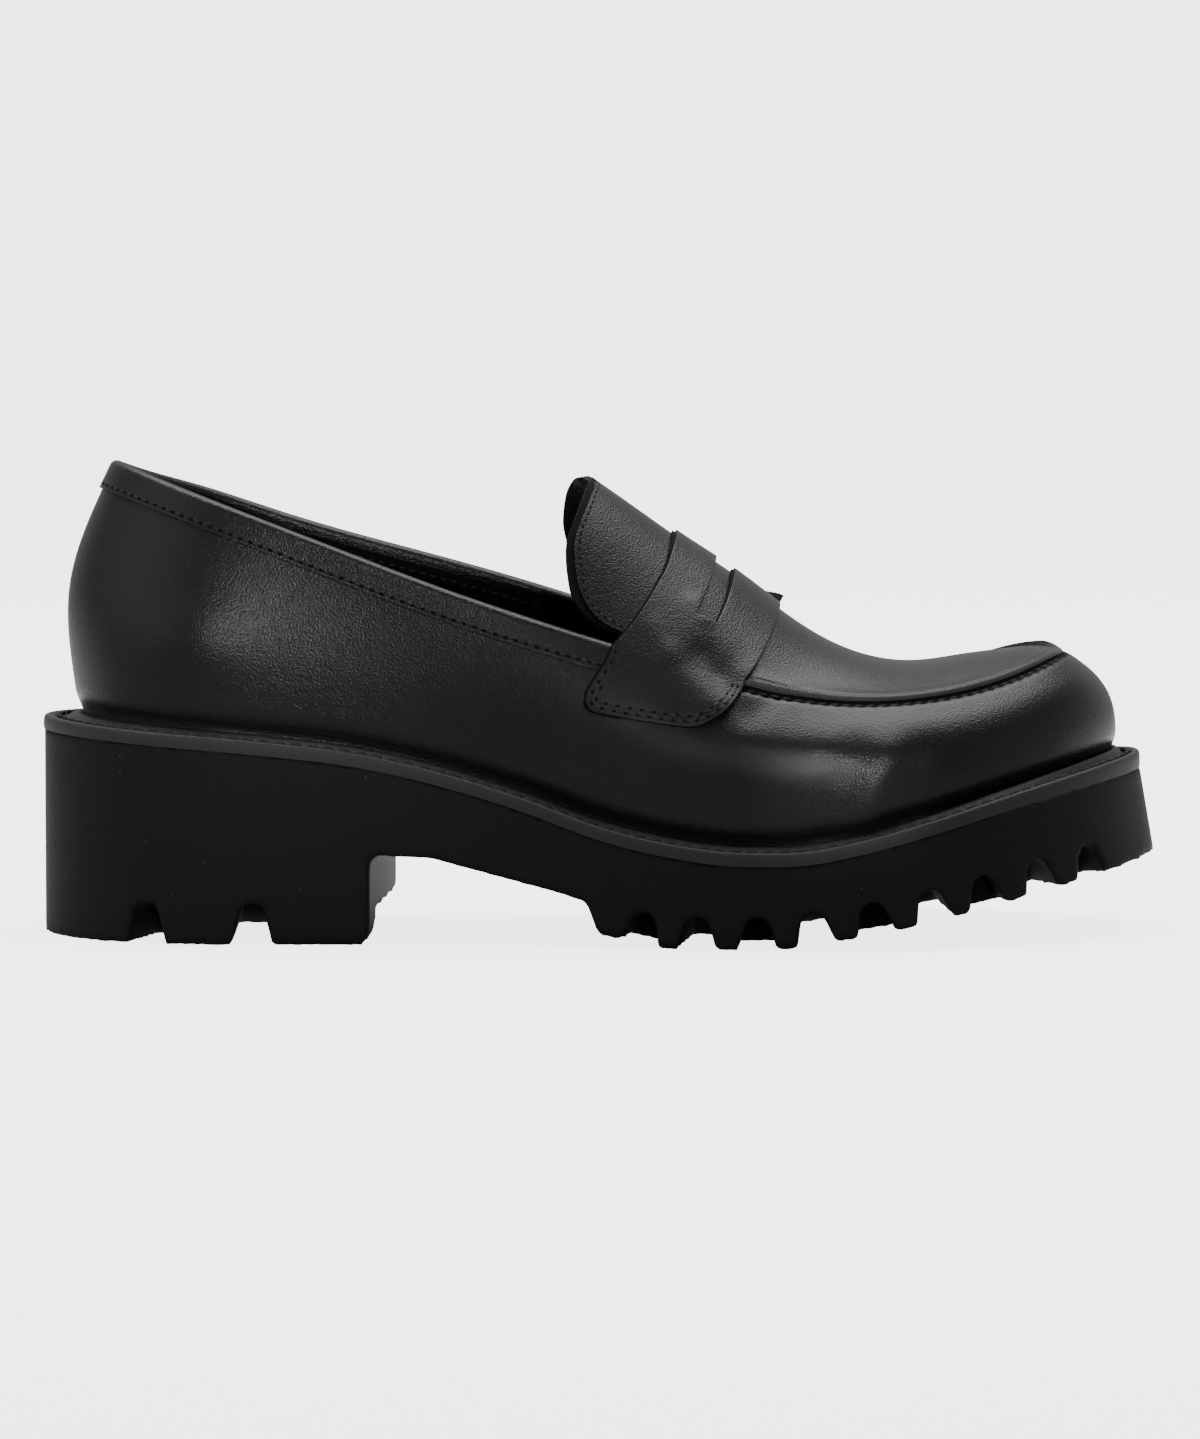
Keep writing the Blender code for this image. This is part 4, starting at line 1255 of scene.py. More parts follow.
@dataclass
class Tongue(Assembly):
    """Tongue over the instep, leather outside and rough flesh side in."""

    node: ClassVar[str] = "tongue"
    slot: ClassVar[str] = "tongue_leather"
    leather: float = 1.3
    backing: float = 1.5
    overhang_row: float = 0.045
    overhang_share: float = 0.016
    far_bow: float = 0.12
    stitch_inset: float = 0.95

    def build(self) -> None:
        """Make the leather, its backing and the stitches along the edge."""
        index = np.arange(len(TONGUE_EDGE), dtype=float)
        fine = np.linspace(0.0, index[-1], 601)
        rows = Curve(list(zip(index, [point.row for point in TONGUE_EDGE])))(fine)
        lows = Curve(list(zip(index, [point.share for point in TONGUE_EDGE])))(fine)
        line = run_length(self.last.point(rows, 1.0 + lows))
        even = np.linspace(0.0, line[-1], 80)
        row, low = np.interp(even, line, rows), np.interp(even, line, lows)
        across = np.concatenate([[0.0, 0.015, 0.035], np.linspace(0.06, 1.0, 40)])
        face = Workbench.grid("tongue_skin", self._sheet(row, low, across, 0.0))
        self._thicken(face, self.leather)
        Workbench.round_edges(face, 0.4, 50.0)
        Workbench.smooth(face, 60.0)
        tip = 1.0 - ease(5.5, 6.2, row)
        wider = self._sheet(
            row - self.overhang_row * tip, low - self.overhang_share * tip, across, -self.leather - 0.05,
        )
        back = Workbench.grid("tongue_backing", wider)
        self.reserve(back, 2)
        self._thicken(back, self.backing)
        self.pieces = [face, back, self._stitches(row, low)]

    @staticmethod
    def _thicken(layer: bpy.types.Object, thickness: float) -> None:
        """Give a layer its thickness inwards and a smooth face."""
        Workbench.thicken(layer, thickness, inner=1)
        Workbench.smooth(layer, 60.0)

    def _sheet(self, row: np.ndarray, low: np.ndarray, across: np.ndarray, lift: float) -> np.ndarray:
        """Points of the tongue from its near edge over the ridge to its far edge.

        Args:
            row: Sections of the free edge.
            low: Shares of the way up to the ridge where the free edge is.
            across: Shares of the way from the free edge to the ridge.
            lift: Lift off the last.

        Returns:
            Grid of points.
        """
        share = low[:, None] + (1.0 - low[:, None]) * across[None, :]
        crest = np.linspace(row[0], row[-1], len(row))
        rows = row[:, None] + (crest - row)[:, None] * across[None, :]
        near = self.last.point(rows, 1.0 + share)
        bow = np.sin(math.pi * np.clip((share - 0.28) / 0.72, 0.0, 1.0))
        bow = bow * (1.0 - ease(5.3, 5.7, rows))
        far = self.last.point(self.last.count - rows + self.far_bow * bow, 1.0 + share)
        points = np.concatenate([near, far[:, -2::-1]], axis=1)
        return points + directions(points) * lift

    def _stitches(self, row: np.ndarray, low: np.ndarray) -> bpy.types.Object:
        """Notched stitches a little inside the free edge, on both sides."""
        across = np.concatenate([[0.0, 0.02, 0.04], np.linspace(0.06, 1.0, 60)])
        points = self._sheet(row, low, across, 0.0)
        out = directions(points)
        middle = points.shape[1] // 2
        near, near_out = self._inset(points[:, :middle + 1], out[:, :middle + 1])
        far, far_out = self._inset(points[:, :middle - 1:-1], out[:, :middle - 1:-1])
        path = np.concatenate([near[::-1], far])
        ups = np.concatenate([near_out[::-1], far_out])
        row_of = StitchRow(pitch=2.2, length=1.4, width=0.5, proud=0.10)
        return row_of.sew("tongue_stitches", path, ups, self.wardrobe)

    def _inset(self, points: np.ndarray, out: np.ndarray) -> tuple[np.ndarray, np.ndarray]:
        """Line that runs a set distance inside the free edge.

        Args:
            points: Half of the tongue, its free edge first in each line.
            out: Outward directions there.

        Returns:
            Points of the line and the outward directions at them.
        """
        edge = points[:, 0]
        flat = points.reshape(-1, 3)
        gap = np.linalg.norm(flat[:, None, :] - edge[None, :, :], axis=-1).min(axis=1)
        gap = gap.reshape(points.shape[:2])
        line, ups = [], []
        for index in range(len(points)):
            if gap[index].max() < self.stitch_inset:
                continue
            at = int(np.argmax(gap[index] >= self.stitch_inset))
            line.append(points[index, at])
            ups.append(out[index, at])
        return soften(np.array(line), 2, axis=0), np.array(ups)

    def dress(self) -> None:
        """Give the face its leather, and the backing its stained edge and rough inside."""
        self.paint(self.pieces[0], self.wardrobe.leather)
        self.paint(self.pieces[1], self.wardrobe.edge, self.wardrobe.suede)


@dataclass
class SaddleStrap(Assembly):
    """Strap over the instep with the slot cut in it and a stitched tab on each side."""

    node: ClassVar[str] = "saddle_strap"
    slot: ClassVar[str] = "strap_leather"
    thickness: float = 1.6
    gap: float = 0.32
    foot_rear: float = 0.655
    foot_rise: float = 0.055
    rear_corner: float = 0.12
    front_corner: float = 0.20
    corner_slope: float = 0.9
    slot_rear: float = 0.395
    slot_front: float = 0.595
    slot_end: float = 1.265
    skive: float = 0.50
    curl: float = 2.4
    curl_v: float = 1.74
    curl_near: float = 0.04
    curl_far: float = 0.32
    curl_front: tuple[float, float] = (0.82, 1.0)
    # Lift above which the curled corner's faces take the dark stain, as painted shade on the lifted far
    # front corner.
    curl_shade_lift: float = 0.3
    skive_rise: tuple[float, float] = (1.15, 1.45)
    shoulder: float = 0.45
    shoulder_v: float = 1.02
    shoulder_spread: float = 0.12
    shoulder_front: tuple[float, float] = (0.80, 1.0)
    stitch_insets: tuple[float, float] = (1.15, 2.5)
    # The thin dark sheet under the strap, a painted shadow line: how far it shows past the edges, how deep
    # it sits and how thick it is.
    shadow_rim: float = 0.019
    shadow_drop: float = 0.75
    lining: float = 0.35
    stitch_top_rear: float = 0.985
    stitch_top_front: float = 0.955

    def build(self) -> None:
        """Make the strap and its stitches."""
        share = self._shares()
        foot = self._foot(share)[:, None]
        tab = np.linspace(0.0, 1.0, 46)[None, :-1]
        bar = np.linspace(self.slot_end, 2.0, 46)[None, :]
        v = np.concatenate([foot + (self.slot_end - foot) * tab, bar + 0.0 * foot], axis=1)
        outer = self._over(share, v)
        skin = Workbench.grid("strap_skin", outer)
        self.reserve(skin, 2)
        # The far front corner that stands off the instep is painted with the dark stain, as painted shade.
        shaded_flank = self._curled(share[:, None], v) * (v > self.curl_v - 0.01)
        shaded_flank = np.concatenate([0.0 * shaded_flank, shaded_flank[:, -2::-1]], axis=1)
        for face in skin.data.polygons:
            lifts = [shaded_flank[corner % len(share), corner // len(share)] for corner in face.vertices]
            face.material_index = int(np.mean(lifts) > self.curl_shade_lift)
        self._open_slot(skin, share, tab.shape[1], outer.shape[1])
        Workbench.thicken(skin, self.thickness, inner=1, rim=1)
        Workbench.round_edges(skin, 0.4, 50.0, material=0)
        Workbench.smooth(skin, 60.0)
        self.pieces = [skin, self._shadow_sheet()]
        for side in Side:
            for number, inset in enumerate(self.stitch_insets):
                self.pieces.append(self._stitches(side, number, inset))

    def _shadow_sheet(self) -> bpy.types.Object:
        """Thin dark sheet that shows past the strap's rear edge and past the slot's front edge, as a
        painted shadow line along them.
        """
        rear = np.linspace(-self.shadow_rim, 0.30, 14)
        foot = self._foot(np.maximum(rear + self.shadow_rim, 0.0)) - 0.012
        front = np.linspace(self.slot_front - 0.8 * self.shadow_rim, 0.80, 10)
        sheets = []
        for share, low in ((rear, foot), (front, np.full(len(front), self.slot_end - 0.02))):
            v = low[:, None] + (2.0 - low[:, None]) * np.linspace(0.0, 1.0, 80)[None, :]
            sheets.append(Workbench.grid("strap_shadow_sheet", self._over(share, v, self.shadow_drop)))
        lining = Workbench.join("strap_shadow_sheet", sheets)
        Workbench.thicken(lining, self.lining, even=False)
        Workbench.smooth(lining, 60.0)
        return lining

    def _curled(self, share: np.ndarray, v: np.ndarray) -> np.ndarray:
        """Lift of the far front corner of the bar, which stands off the instep."""
        away = v - self.curl_v
        spread = np.where(away > 0.0, self.curl_near, self.curl_far)
        return self.curl * np.exp(-((away / spread) ** 2)) * ease(*self.curl_front, share)

    def _shares(self) -> np.ndarray:
        """Shares of the way from the rear edge to the front edge, with the slot's edges among them."""
        rear = np.linspace(0.05, self.slot_rear, 22)
        middle = np.linspace(self.slot_rear, self.slot_front, 10)[1:]
        front = np.linspace(self.slot_front, 0.95, 22)[1:]
        return np.concatenate([[0.0, 0.012, 0.03], rear, middle, front, [0.97, 0.988, 1.0]])

    def _foot(self, share: np.ndarray) -> np.ndarray:
        """Height on the wall where the tab ends, with its corners rounded off."""
        foot = self.foot_rear + self.foot_rise * share
        for edge, radius in ((share, self.rear_corner), (1.0 - share, self.front_corner)):
            inside = np.clip(1.0 - edge / radius, 0.0, 1.0)
            foot = foot + self.corner_slope * radius * (1.0 - np.sqrt(1.0 - inside ** 2))
        return foot

    def _surface(self, share: np.ndarray, v: np.ndarray, side: Side, drop: float = 0.0) -> np.ndarray:
        """Outside of the strap.

        Args:
            share: Shares of the way from the rear edge to the front edge.
            v: Heights on the last.
            side: Side of the shoe.
            drop: Depth under the outside.

        Returns:
            Points of the same shape as the two numbers broadcast together.
        """
        share, v = np.broadcast_arrays(share, v)
        rear = Curve([(edge.height, edge.rear) for edge in STRAP_EDGES])(v)
        front = Curve([(edge.height, edge.front) for edge in STRAP_EDGES])(v)
        q = side.ring(rear + (front - rear) * share, self.last.count)
        points = self.last.point(q, v)
        lift = self.gap + self.thickness - drop + self.last.pressed(STRAP_CREASES, points)
        shoulder = self.shoulder * np.exp(-(((v - self.shoulder_v) / self.shoulder_spread) ** 2))
        lift = lift + shoulder * ease(*self.shoulder_front, share)
        lift = lift - self.skive * ease(*self.skive_rise, v)
        if side is Side.MEDIAL:
            lift = lift + self._curled(share, v)
        return points + self.last.normal(q, v) * lift[..., None]

    def _over(self, share: np.ndarray, v: np.ndarray, drop: float = 0.0) -> np.ndarray:
        """Lines of points over the instep, up its lateral side and down its medial side.

        Args:
            share: Shares of the way from the rear edge to the front edge, one for each line.
            v: Heights on the last, as (lines, points of one side).
            drop: Depth under the outside.

        Returns:
            Points as (lines, points of both sides, 3).
        """
        near = self._surface(share[:, None], v, Side.LATERAL, drop)
        far = self._surface(share[:, None], v, Side.MEDIAL, drop)
        return np.concatenate([near, far[:, -2::-1]], axis=1)

    def _open_slot(self, skin: bpy.types.Object, share: np.ndarray, tab: int, columns: int) -> None:
        """Take out the faces of the slot.

        Args:
            skin: Sheet of the strap, as its grid was numbered.
            share: Shares that its lines lie at.
            tab: Number of the first grid line of the slot, counted from either foot.
            columns: Number of grid lines from foot to foot.
        """
        first = int(np.argmin(np.abs(share - self.slot_rear)))
        last = int(np.argmin(np.abs(share - self.slot_front)))
        rows = len(share)
        mesh = bmesh.new()
        mesh.from_mesh(skin.data)
        doomed = []
        for face in mesh.faces:
            along = [corner.index % rows for corner in face.verts]
            over = [corner.index // rows for corner in face.verts]
            inside = first <= min(along) and max(along) <= last
            if inside and tab <= min(over) and max(over) <= columns - 1 - tab:
                doomed.append(face)
        bmesh.ops.delete(mesh, geom=doomed, context="FACES")
        mesh.to_mesh(skin.data)
        mesh.free()

    def _stitches(self, side: Side, number: int, inset: float) -> bpy.types.Object:
        """One row of stitches round a tab: down its rear, along its foot and up its front.

        Args:
            side: Side of the shoe.
            number: Number of the row, from the edge.
            inset: Distance from the edge.

        Returns:
            The stitches.
        """
        turn = (1.0 - np.cos(np.linspace(0.0, math.pi, 120))) / 2.0
        foot = self._foot(turn)
        rear = np.linspace(self.stitch_top_rear - 0.17 * number, foot[0], 40)[:-1]
        front = np.linspace(foot[-1], self.stitch_top_front, 30)[1:]
        share = np.concatenate([0.0 * rear, turn, 0.0 * front + 1.0])
        v = np.concatenate([rear, foot, front])
        step = 0.01
        here = self._surface(share, v, side)
        by_share = self._surface(share + step, v, side) - self._surface(share - step, v, side)
        by_height = self._surface(share, v + step, side) - self._surface(share, v - step, side)
        by_share, by_height = by_share / (2 * step), by_height / (2 * step)
        line = run_length(here)
        even = np.linspace(0.0, line[-1], 200)
        along = np.gradient(soften(here, 4, axis=0), axis=0)
        inward = unit(np.cross(unit(np.cross(by_share, by_height)), along))
        if np.dot(inward[len(rear) // 2], by_share[len(rear) // 2]) < 0.0:
            inward = -inward
        places = []
        for index in range(len(here)):
            frame = np.stack([by_share[index], by_height[index]], axis=1)
            move = np.linalg.lstsq(frame, inward[index] * inset, rcond=None)[0]
            places.append((share[index] + move[0], v[index] + move[1]))
        moved = np.array(places)
        moved = np.stack([np.interp(even, line, moved[:, axis]) for axis in range(2)], axis=1)
        moved = soften(moved, 5, axis=0)
        path = self._surface(moved[:, 0], moved[:, 1], side)
        aside = self._surface(moved[:, 0] + step, moved[:, 1], side) - path
        above = self._surface(moved[:, 0], moved[:, 1] + step, side) - path
        up = unit(np.cross(aside, above))
        up = up if side is Side.LATERAL else -up
        row = StitchRow(pitch=2.9, length=1.6, width=0.5, proud=0.10)
        return row.sew(f"strap_stitches_{side.value}_{number + 1}", path, up, self.wardrobe)

    def dress(self) -> None:
        """Give the strap its leather, and its cut edges their dark stain; the same stain is painted shade
        on the curled corner and a painted shadow on the sheet under the strap.
        """
        self.paint(self.pieces[0], self.wardrobe.leather, self.wardrobe.edge)
        self.paint(self.pieces[1], self.wardrobe.edge)


@dataclass
class CollarBinding(Assembly):
    """Strip folded over the topline round the heel, stitched along its lower edge."""

    node: ClassVar[str] = "collar_binding"
    slot: ClassVar[str] = "binding_leather"
    tuck: float = 0.06
    leather: float = 2.0
    clear: float = 0.12
    thickness: float = 0.7
    outside: float = 6.3
    inside: float = 5.0
    stitch_rise: float = 1.25
    pitch: float = 1.25
    lined_rows: int = 4

    def build(self) -> None:
        """Make the strip and its stitches."""
        end = STRAP_EDGES[4].rear + self.tuck
        q = self.last.spaced(-end, end, self.pitch, Line.EDGE)
        profile = self._profile(q)
        skin = Workbench.grid("binding_skin", profile)
        self.reserve(skin, 2)
        for face in skin.data.polygons:
            line = min(corner // len(q) for corner in face.vertices)
            face.material_index = int(line >= profile.shape[1] - self.lined_rows)
        Workbench.thicken(skin, self.thickness)
        Workbench.round_edges(skin, 0.25, 50.0)
        Workbench.smooth(skin, 60.0)
        self.pieces = [skin]
        outer = self.clear + self.thickness
        self.pieces.append(self._stitches("binding_stitches", q, self.outside, outer))
        self.pieces.append(self._stitches("binding_stitches_inside", q, self.inside, -self.leather - outer))

    def _held(self, q: np.ndarray, v: np.ndarray) -> np.ndarray:
        """Ring positions on the strip, kept from running past the strap's rear edge."""
        limit = Curve([(edge.height, edge.rear) for edge in STRAP_EDGES])(v) + self.tuck
        return np.clip(q[:, None], -limit, limit)

    def _rows(self, q: np.ndarray, runs: Sequence[float], lift: float) -> np.ndarray:
        """Lines of points along the strip.

        Args:
            q: Ring positions.
            runs: Distances below the topline.
            lift: Lift off the outside of the leather.

        Returns:
            Points as (ring positions, runs, 3).
        """
        v = self.last.below_edge(q, np.array(runs))
        held = self._held(q, v)
        return self.last.point(held, v) + self.last.normal(held, np.minimum(v, 0.97)) * lift

    def _stitches(self, name: str, q: np.ndarray, width: float, lift: float) -> bpy.types.Object:
        """Row of stitches near an edge of the strip, inside the shoe where the lift is negative."""
        points = self._rows(q, [width - self.stitch_rise], lift)[:, 0]
        base = self._rows(q, [width - self.stitch_rise], 0.0)[:, 0]
        row = StitchRow(pitch=2.7, length=1.5, width=0.6, proud=0.09, hole=1.3, hole_width=0.85)
        return row.sew(name, points, unit(points - base), self.wardrobe)

    def _profile(self, q: np.ndarray) -> np.ndarray:
        """Outside of the strip: up the quarter, over the topline and down the lining."""
        clear = self.clear + self.thickness
        outer = self._rows(q, [self.outside, 6.0, 5.0, 4.0, 3.0, 2.0, 1.2, 0.5], clear)
        top = self._held(q, np.ones((len(q), 1)))[:, 0]
        edge = self.last.point(top, 1.0 + 0.0 * top)
        normal = self.last.normal(top, 0.97 + 0.0 * top)
        climb = unit(edge - self.last.point(top, 0.97 + 0.0 * top))
        centre = edge - normal * self.leather / 2.0
        radius = self.leather / 2.0 + clear
        fold = []
        for turn in np.radians([8, 30, 55, 80, 100, 125, 150, 172]):
            fold.append(centre + radius * (normal * math.cos(turn) + climb * math.sin(turn)))
        inner = self._rows(q, [0.6, 1.6, 2.8, 4.0, self.inside], -self.leather - clear)
        return np.concatenate([outer, np.stack(fold, axis=1), inner], axis=1)

    def dress(self) -> None:
        """Give the strip its leather outside and the lining's dull finish inside."""
        self.paint(self.pieces[0], self.wardrobe.leather, self.wardrobe.lining)


@dataclass
class Welt(Assembly):
    """Stitched strip all round on top of the sole, with a bead along the upper."""

    node: ClassVar[str] = "welt"
    slot: ClassVar[str] = "welt_leather"
    pitch: float = 1.1
    low: float = 0.74
    full_rows: tuple[float, float] = (9.0, 12.0)
    stitch_out: float = 0.60
    stitch_z: float = 3.2

    def build(self) -> None:
        """Make the strip and its stitches."""
        q = self.last.spaced(0.0, float(self.last.count), self.pitch, Line.FEATHER)
        loop = [self._line(q, point) for point in WELT]
        strip = Workbench.grid("welt_strip", np.stack(loop + loop[:1], axis=1)[:, ::-1])
        self.reserve(strip, 2)
        # Faces of the outer rim and face get the lighter finish, partly worn edge and partly painted light;
        # the bead and groove get the darker one.
        for face in strip.data.polygons:
            point = len(loop) - max(corner // len(q) for corner in face.vertices)
            face.material_index = int(point < WELT_WORN_LIT_BAND)
        strip = Workbench.join("welt_strip", [strip], merge=0.002)
        Workbench.smooth(strip, 50.0)
        self.pieces = [strip]
        path = self._line(q, WeltPoint(self.stitch_out, self.stitch_z))
        up = np.broadcast_to(UP, path.shape)
        row = StitchRow(pitch=4.0, length=3.0, width=1.0, proud=0.6, hole=1.0, hole_width=0.8)
        self.pieces.append(row.sew("welt_stitches", path, up, self.wardrobe))

    def _line(self, q: np.ndarray, point: WeltPoint) -> np.ndarray:
        """Points round the shoe at one point of the welt's section."""
        row = self.last.row(q)
        rim = self.last.edge_of_sole(q)
        floor = self.last.sole_top(row[:, 0]) + GAP
        rim_floor = self.last.sole_top(rim[:, 0]) + GAP
        speed = 3.0 * self.last.HANDLE * (row[:, 5] - floor)
        toe = ease(*self.full_rows, np.minimum(q, self.last.count - q))
        height = point.z * (self.low + (1.0 - self.low) * toe if point.z > 0.0 else 1.0)
        near = self.last.wall(q, np.maximum(height, 0.0) / speed)
        near = near + (0.1 - self.last.tucked(height))[..., None] * self.last.outward(q, Line.FEATHER)
        plan = near[:, 0:2] + (rim - near[:, 0:2]) * point.out
        level = floor + (rim_floor - floor) * point.out + height
        return np.column_stack([plan, level])

    def dress(self) -> None:
        """Give the strip its finishes: a lighter one on its outer rim and face, partly worn edge and partly
        painted light, and the bead's darker one on the rest.
        """
        self.paint(self.pieces[0], self.wardrobe.strip, self.wardrobe.bead)


@dataclass
class LugSole(Assembly):
    """Moulded sole unit: heel, arch, forefoot with toe spring, and lugs."""

    node: ClassVar[str] = "lug_sole"
    slot: ClassVar[str] = "sole_rubber"
    toe_flare: float = 3.7
    toe_flare_depth: float = 21.4
    toe_top: float = 41.5
    toe_flare_run: tuple[float, float] = (70.0, 128.0)
    block_drop: float = 5.0
    block_height: float = 70.0
    cut_half_length: float = 150.0
    cut_half_width: float = 70.0
    heel_end: float = -20.0
    breast_slant: float = 4.4
    breast_pivot: float = -36.0
    groove_floor: float = 9.4
    groove_roof: float = 5.6
    groove_overrun: float = 12.0
    breast_step: float = 7.2
    breast_step_back: float = 9.0
    breast_step_edge: float = -20.0
    pitch: float = 2.4
    cell: float = 1.05
    rough: float = 0.35

    def build(self) -> None:
        """Cut the unit out of a block of its own outline, and round every corner as moulded."""
        sole = self._block()
        Workbench.cut(sole, self._profile(), "INTERSECT")
        Workbench.cut(sole, self._arch(), "DIFFERENCE")
        Workbench.cut(sole, self._grooves(), "DIFFERENCE")
        Workbench.cut(sole, self._breast(), "DIFFERENCE")
        sole = Workbench.join("sole_unit", [sole], merge=0.05)
        Workbench.modify(sole, "REMESH", mode="VOXEL", voxel_size=self.cell * MM, adaptivity=0.0)
        Workbench.modify(sole, "SMOOTH", factor=0.5, iterations=3)
        self._worn(sole)
        Workbench.smooth(sole, 60.0)
        self.pieces = [sole]

    def _worn(self, sole: bpy.types.Object) -> None:
        """Roughen the treads that touch the floor."""
        tread = Curve(TREAD)
        for corner in sole.data.vertices:
            x, z = corner.co.x / MM, corner.co.z / MM
            ground = float(tread(x)) if x > self.heel_end else 0.0
            near = 1.0 - float(ease(0.4, 2.2, z - ground))
            if near > 0.0:
                grit = noise.noise(corner.co / (1.6 * MM))
                corner.co.z = max(corner.co.z + self.rough * near * grit * MM, 0.0)

    def _block(self) -> bpy.types.Object:
        """Upright block of the sole's outline, drawn out to the front at the toe."""
        q = self.last.spaced(0.0, float(self.last.count), self.pitch, Line.FEATHER)[:-1]
        edge = self.last.edge_of_sole(q)
        outline = np.column_stack([edge, np.full(len(edge), -self.block_drop)])
        block = Workbench.prism("sole_unit", outline, (0.0, 0.0, self.block_height))
        for corner in block.data.vertices:
            depth = self.toe_top - corner.co.z / MM
            forward = float(ease(*self.toe_flare_run, corner.co.x / MM))
            corner.co.x += self.toe_flare * MM * depth / self.toe_flare_depth * forward
        return block

    def _profile(self) -> bpy.types.Object:
        """Side profile that the block is cut to."""
        far, wide, tread = self.cut_half_length, self.cut_half_width, Curve(TREAD)
        tops = [(x, float(self.last.sole_top(x))) for x in np.linspace(far, -far, 101)]
        treads = [(-far, 0.0), (self.heel_end, 0.0), (self.heel_end + 1.0, 3.4)]
        forefoot = np.linspace(TREAD[0].x, TREAD[-1].x, 60)
        treads += [(x, float(tread(x))) for x in forefoot] + [(far, TREAD[-1].z + 2.0)]
        outline = np.array([(x, -wide, z) for x, z in tops + treads])
        return Workbench.prism("sole_profile", outline, (0.0, 2.0 * wide, 0.0))

    def _arch(self) -> bpy.types.Object:
        """Cutter of the gap under the arch, turned a little to the heel breast's slant."""
        first, end = ARCH[0], ARCH[-1]
        roof = [(first.x - 2.0, -4.0)] + [(row.x, row.z) for row in ARCH] + [(end.x + 1.6, -4.0)]
        turn = -math.radians(self.breast_slant)
        lines = []
        for y in (-80.0, 80.0):
            offset = y - self.breast_pivot
            line = [
                (
                    first.x + (x - first.x) * math.cos(turn) - offset * math.sin(turn),
                    self.breast_pivot + (x - first.x) * math.sin(turn) + offset * math.cos(turn),
                    z,
                )
                for x, z in roof
            ]
            lines.append(np.array(line))
        return Workbench.prism("arch_cutter", lines[0], lines[1][0] - lines[0][0])

    def _breast(self) -> bpy.types.Object:
        """Cutter that sets the medial lug of the heel breast back."""
        back = ARCH[0].x - self.breast_step_back
        fore = ARCH[0].x + 20.0
        low = -self.breast_step
        edge, side = self.breast_step_edge, 60.0
        corners = [(back, edge), (fore, edge), (fore, side), (back, side)]
        outline = np.array([(x, y, low) for x, y in corners])
        return Workbench.prism("breast_cutter", outline, (0.0, 0.0, 2.0 * self.breast_step))

    def _section(self, depth: float) -> list[tuple[float, float]]:
        """Section of a groove: wide at the floor, with a rounded roof."""
        low, high = self.groove_floor / 2.0, self.groove_roof / 2.0
        half = [
            (low + 1.2, -4.0), (high + 0.3, depth - 2.6), (high - 0.1, depth - 1.5),
            (high - 0.7, depth - 0.7), (high - 1.5, depth - 0.15), (high - 2.2, depth),
        ]
        return half + [(-x, z) for x, z in half[::-1]]

    def _grooves(self) -> bpy.types.Object:
        """All the grooves between the lugs as one cutter."""
        tread = Curve(TREAD)
        rows = np.linspace(0.0, float(self.last.toe), 521)
        tools = []
        for groove in GROOVES:
            heel = groove.x < self.heel_end
            base = 0.0 if heel else float(tread(groove.x))
            pitch = 0.0 if heel else math.atan2(float(tread(groove.x + 4.0)) - base, 4.0)
            for side, reach in ((-1.0, groove.lateral_reach), (1.0, groove.medial_reach)):
                ring = rows if side < 0.0 else self.last.count - rows
                edges = self.last.edge_of_sole(ring)
                start = edges[np.argmin(np.abs(edges[:, 0] - groove.x) + 1000.0 * (rows < 0.2))]
                yaw = side * math.radians(groove.slant)
                inward = np.array([side * math.sin(yaw), -side * math.cos(yaw), 0.0])
                ahead = np.array([math.cos(yaw), math.sin(yaw), 0.0])
                along = ahead * math.cos(pitch) + UP * math.sin(pitch)
                rise = UP * math.cos(pitch) - ahead * math.sin(pitch)
                origin = np.array([start[0], start[1], base]) - inward * self.groove_overrun
                section = self._section(groove.depth)
                outline = np.array([origin + along * x + rise * z for x, z in section])
                travel = tuple(inward * (reach + self.groove_overrun))
                tools.append(Workbench.prism("groove", outline, travel))
        Workbench.take(tools[0])
        for tool in tools[1:]:
            tool.select_set(True)
        bpy.ops.object.join()
        return bpy.context.object

    def dress(self) -> None:
        """Give the unit its rubber."""
        self.paint(self.pieces[0], self.wardrobe.rubber)


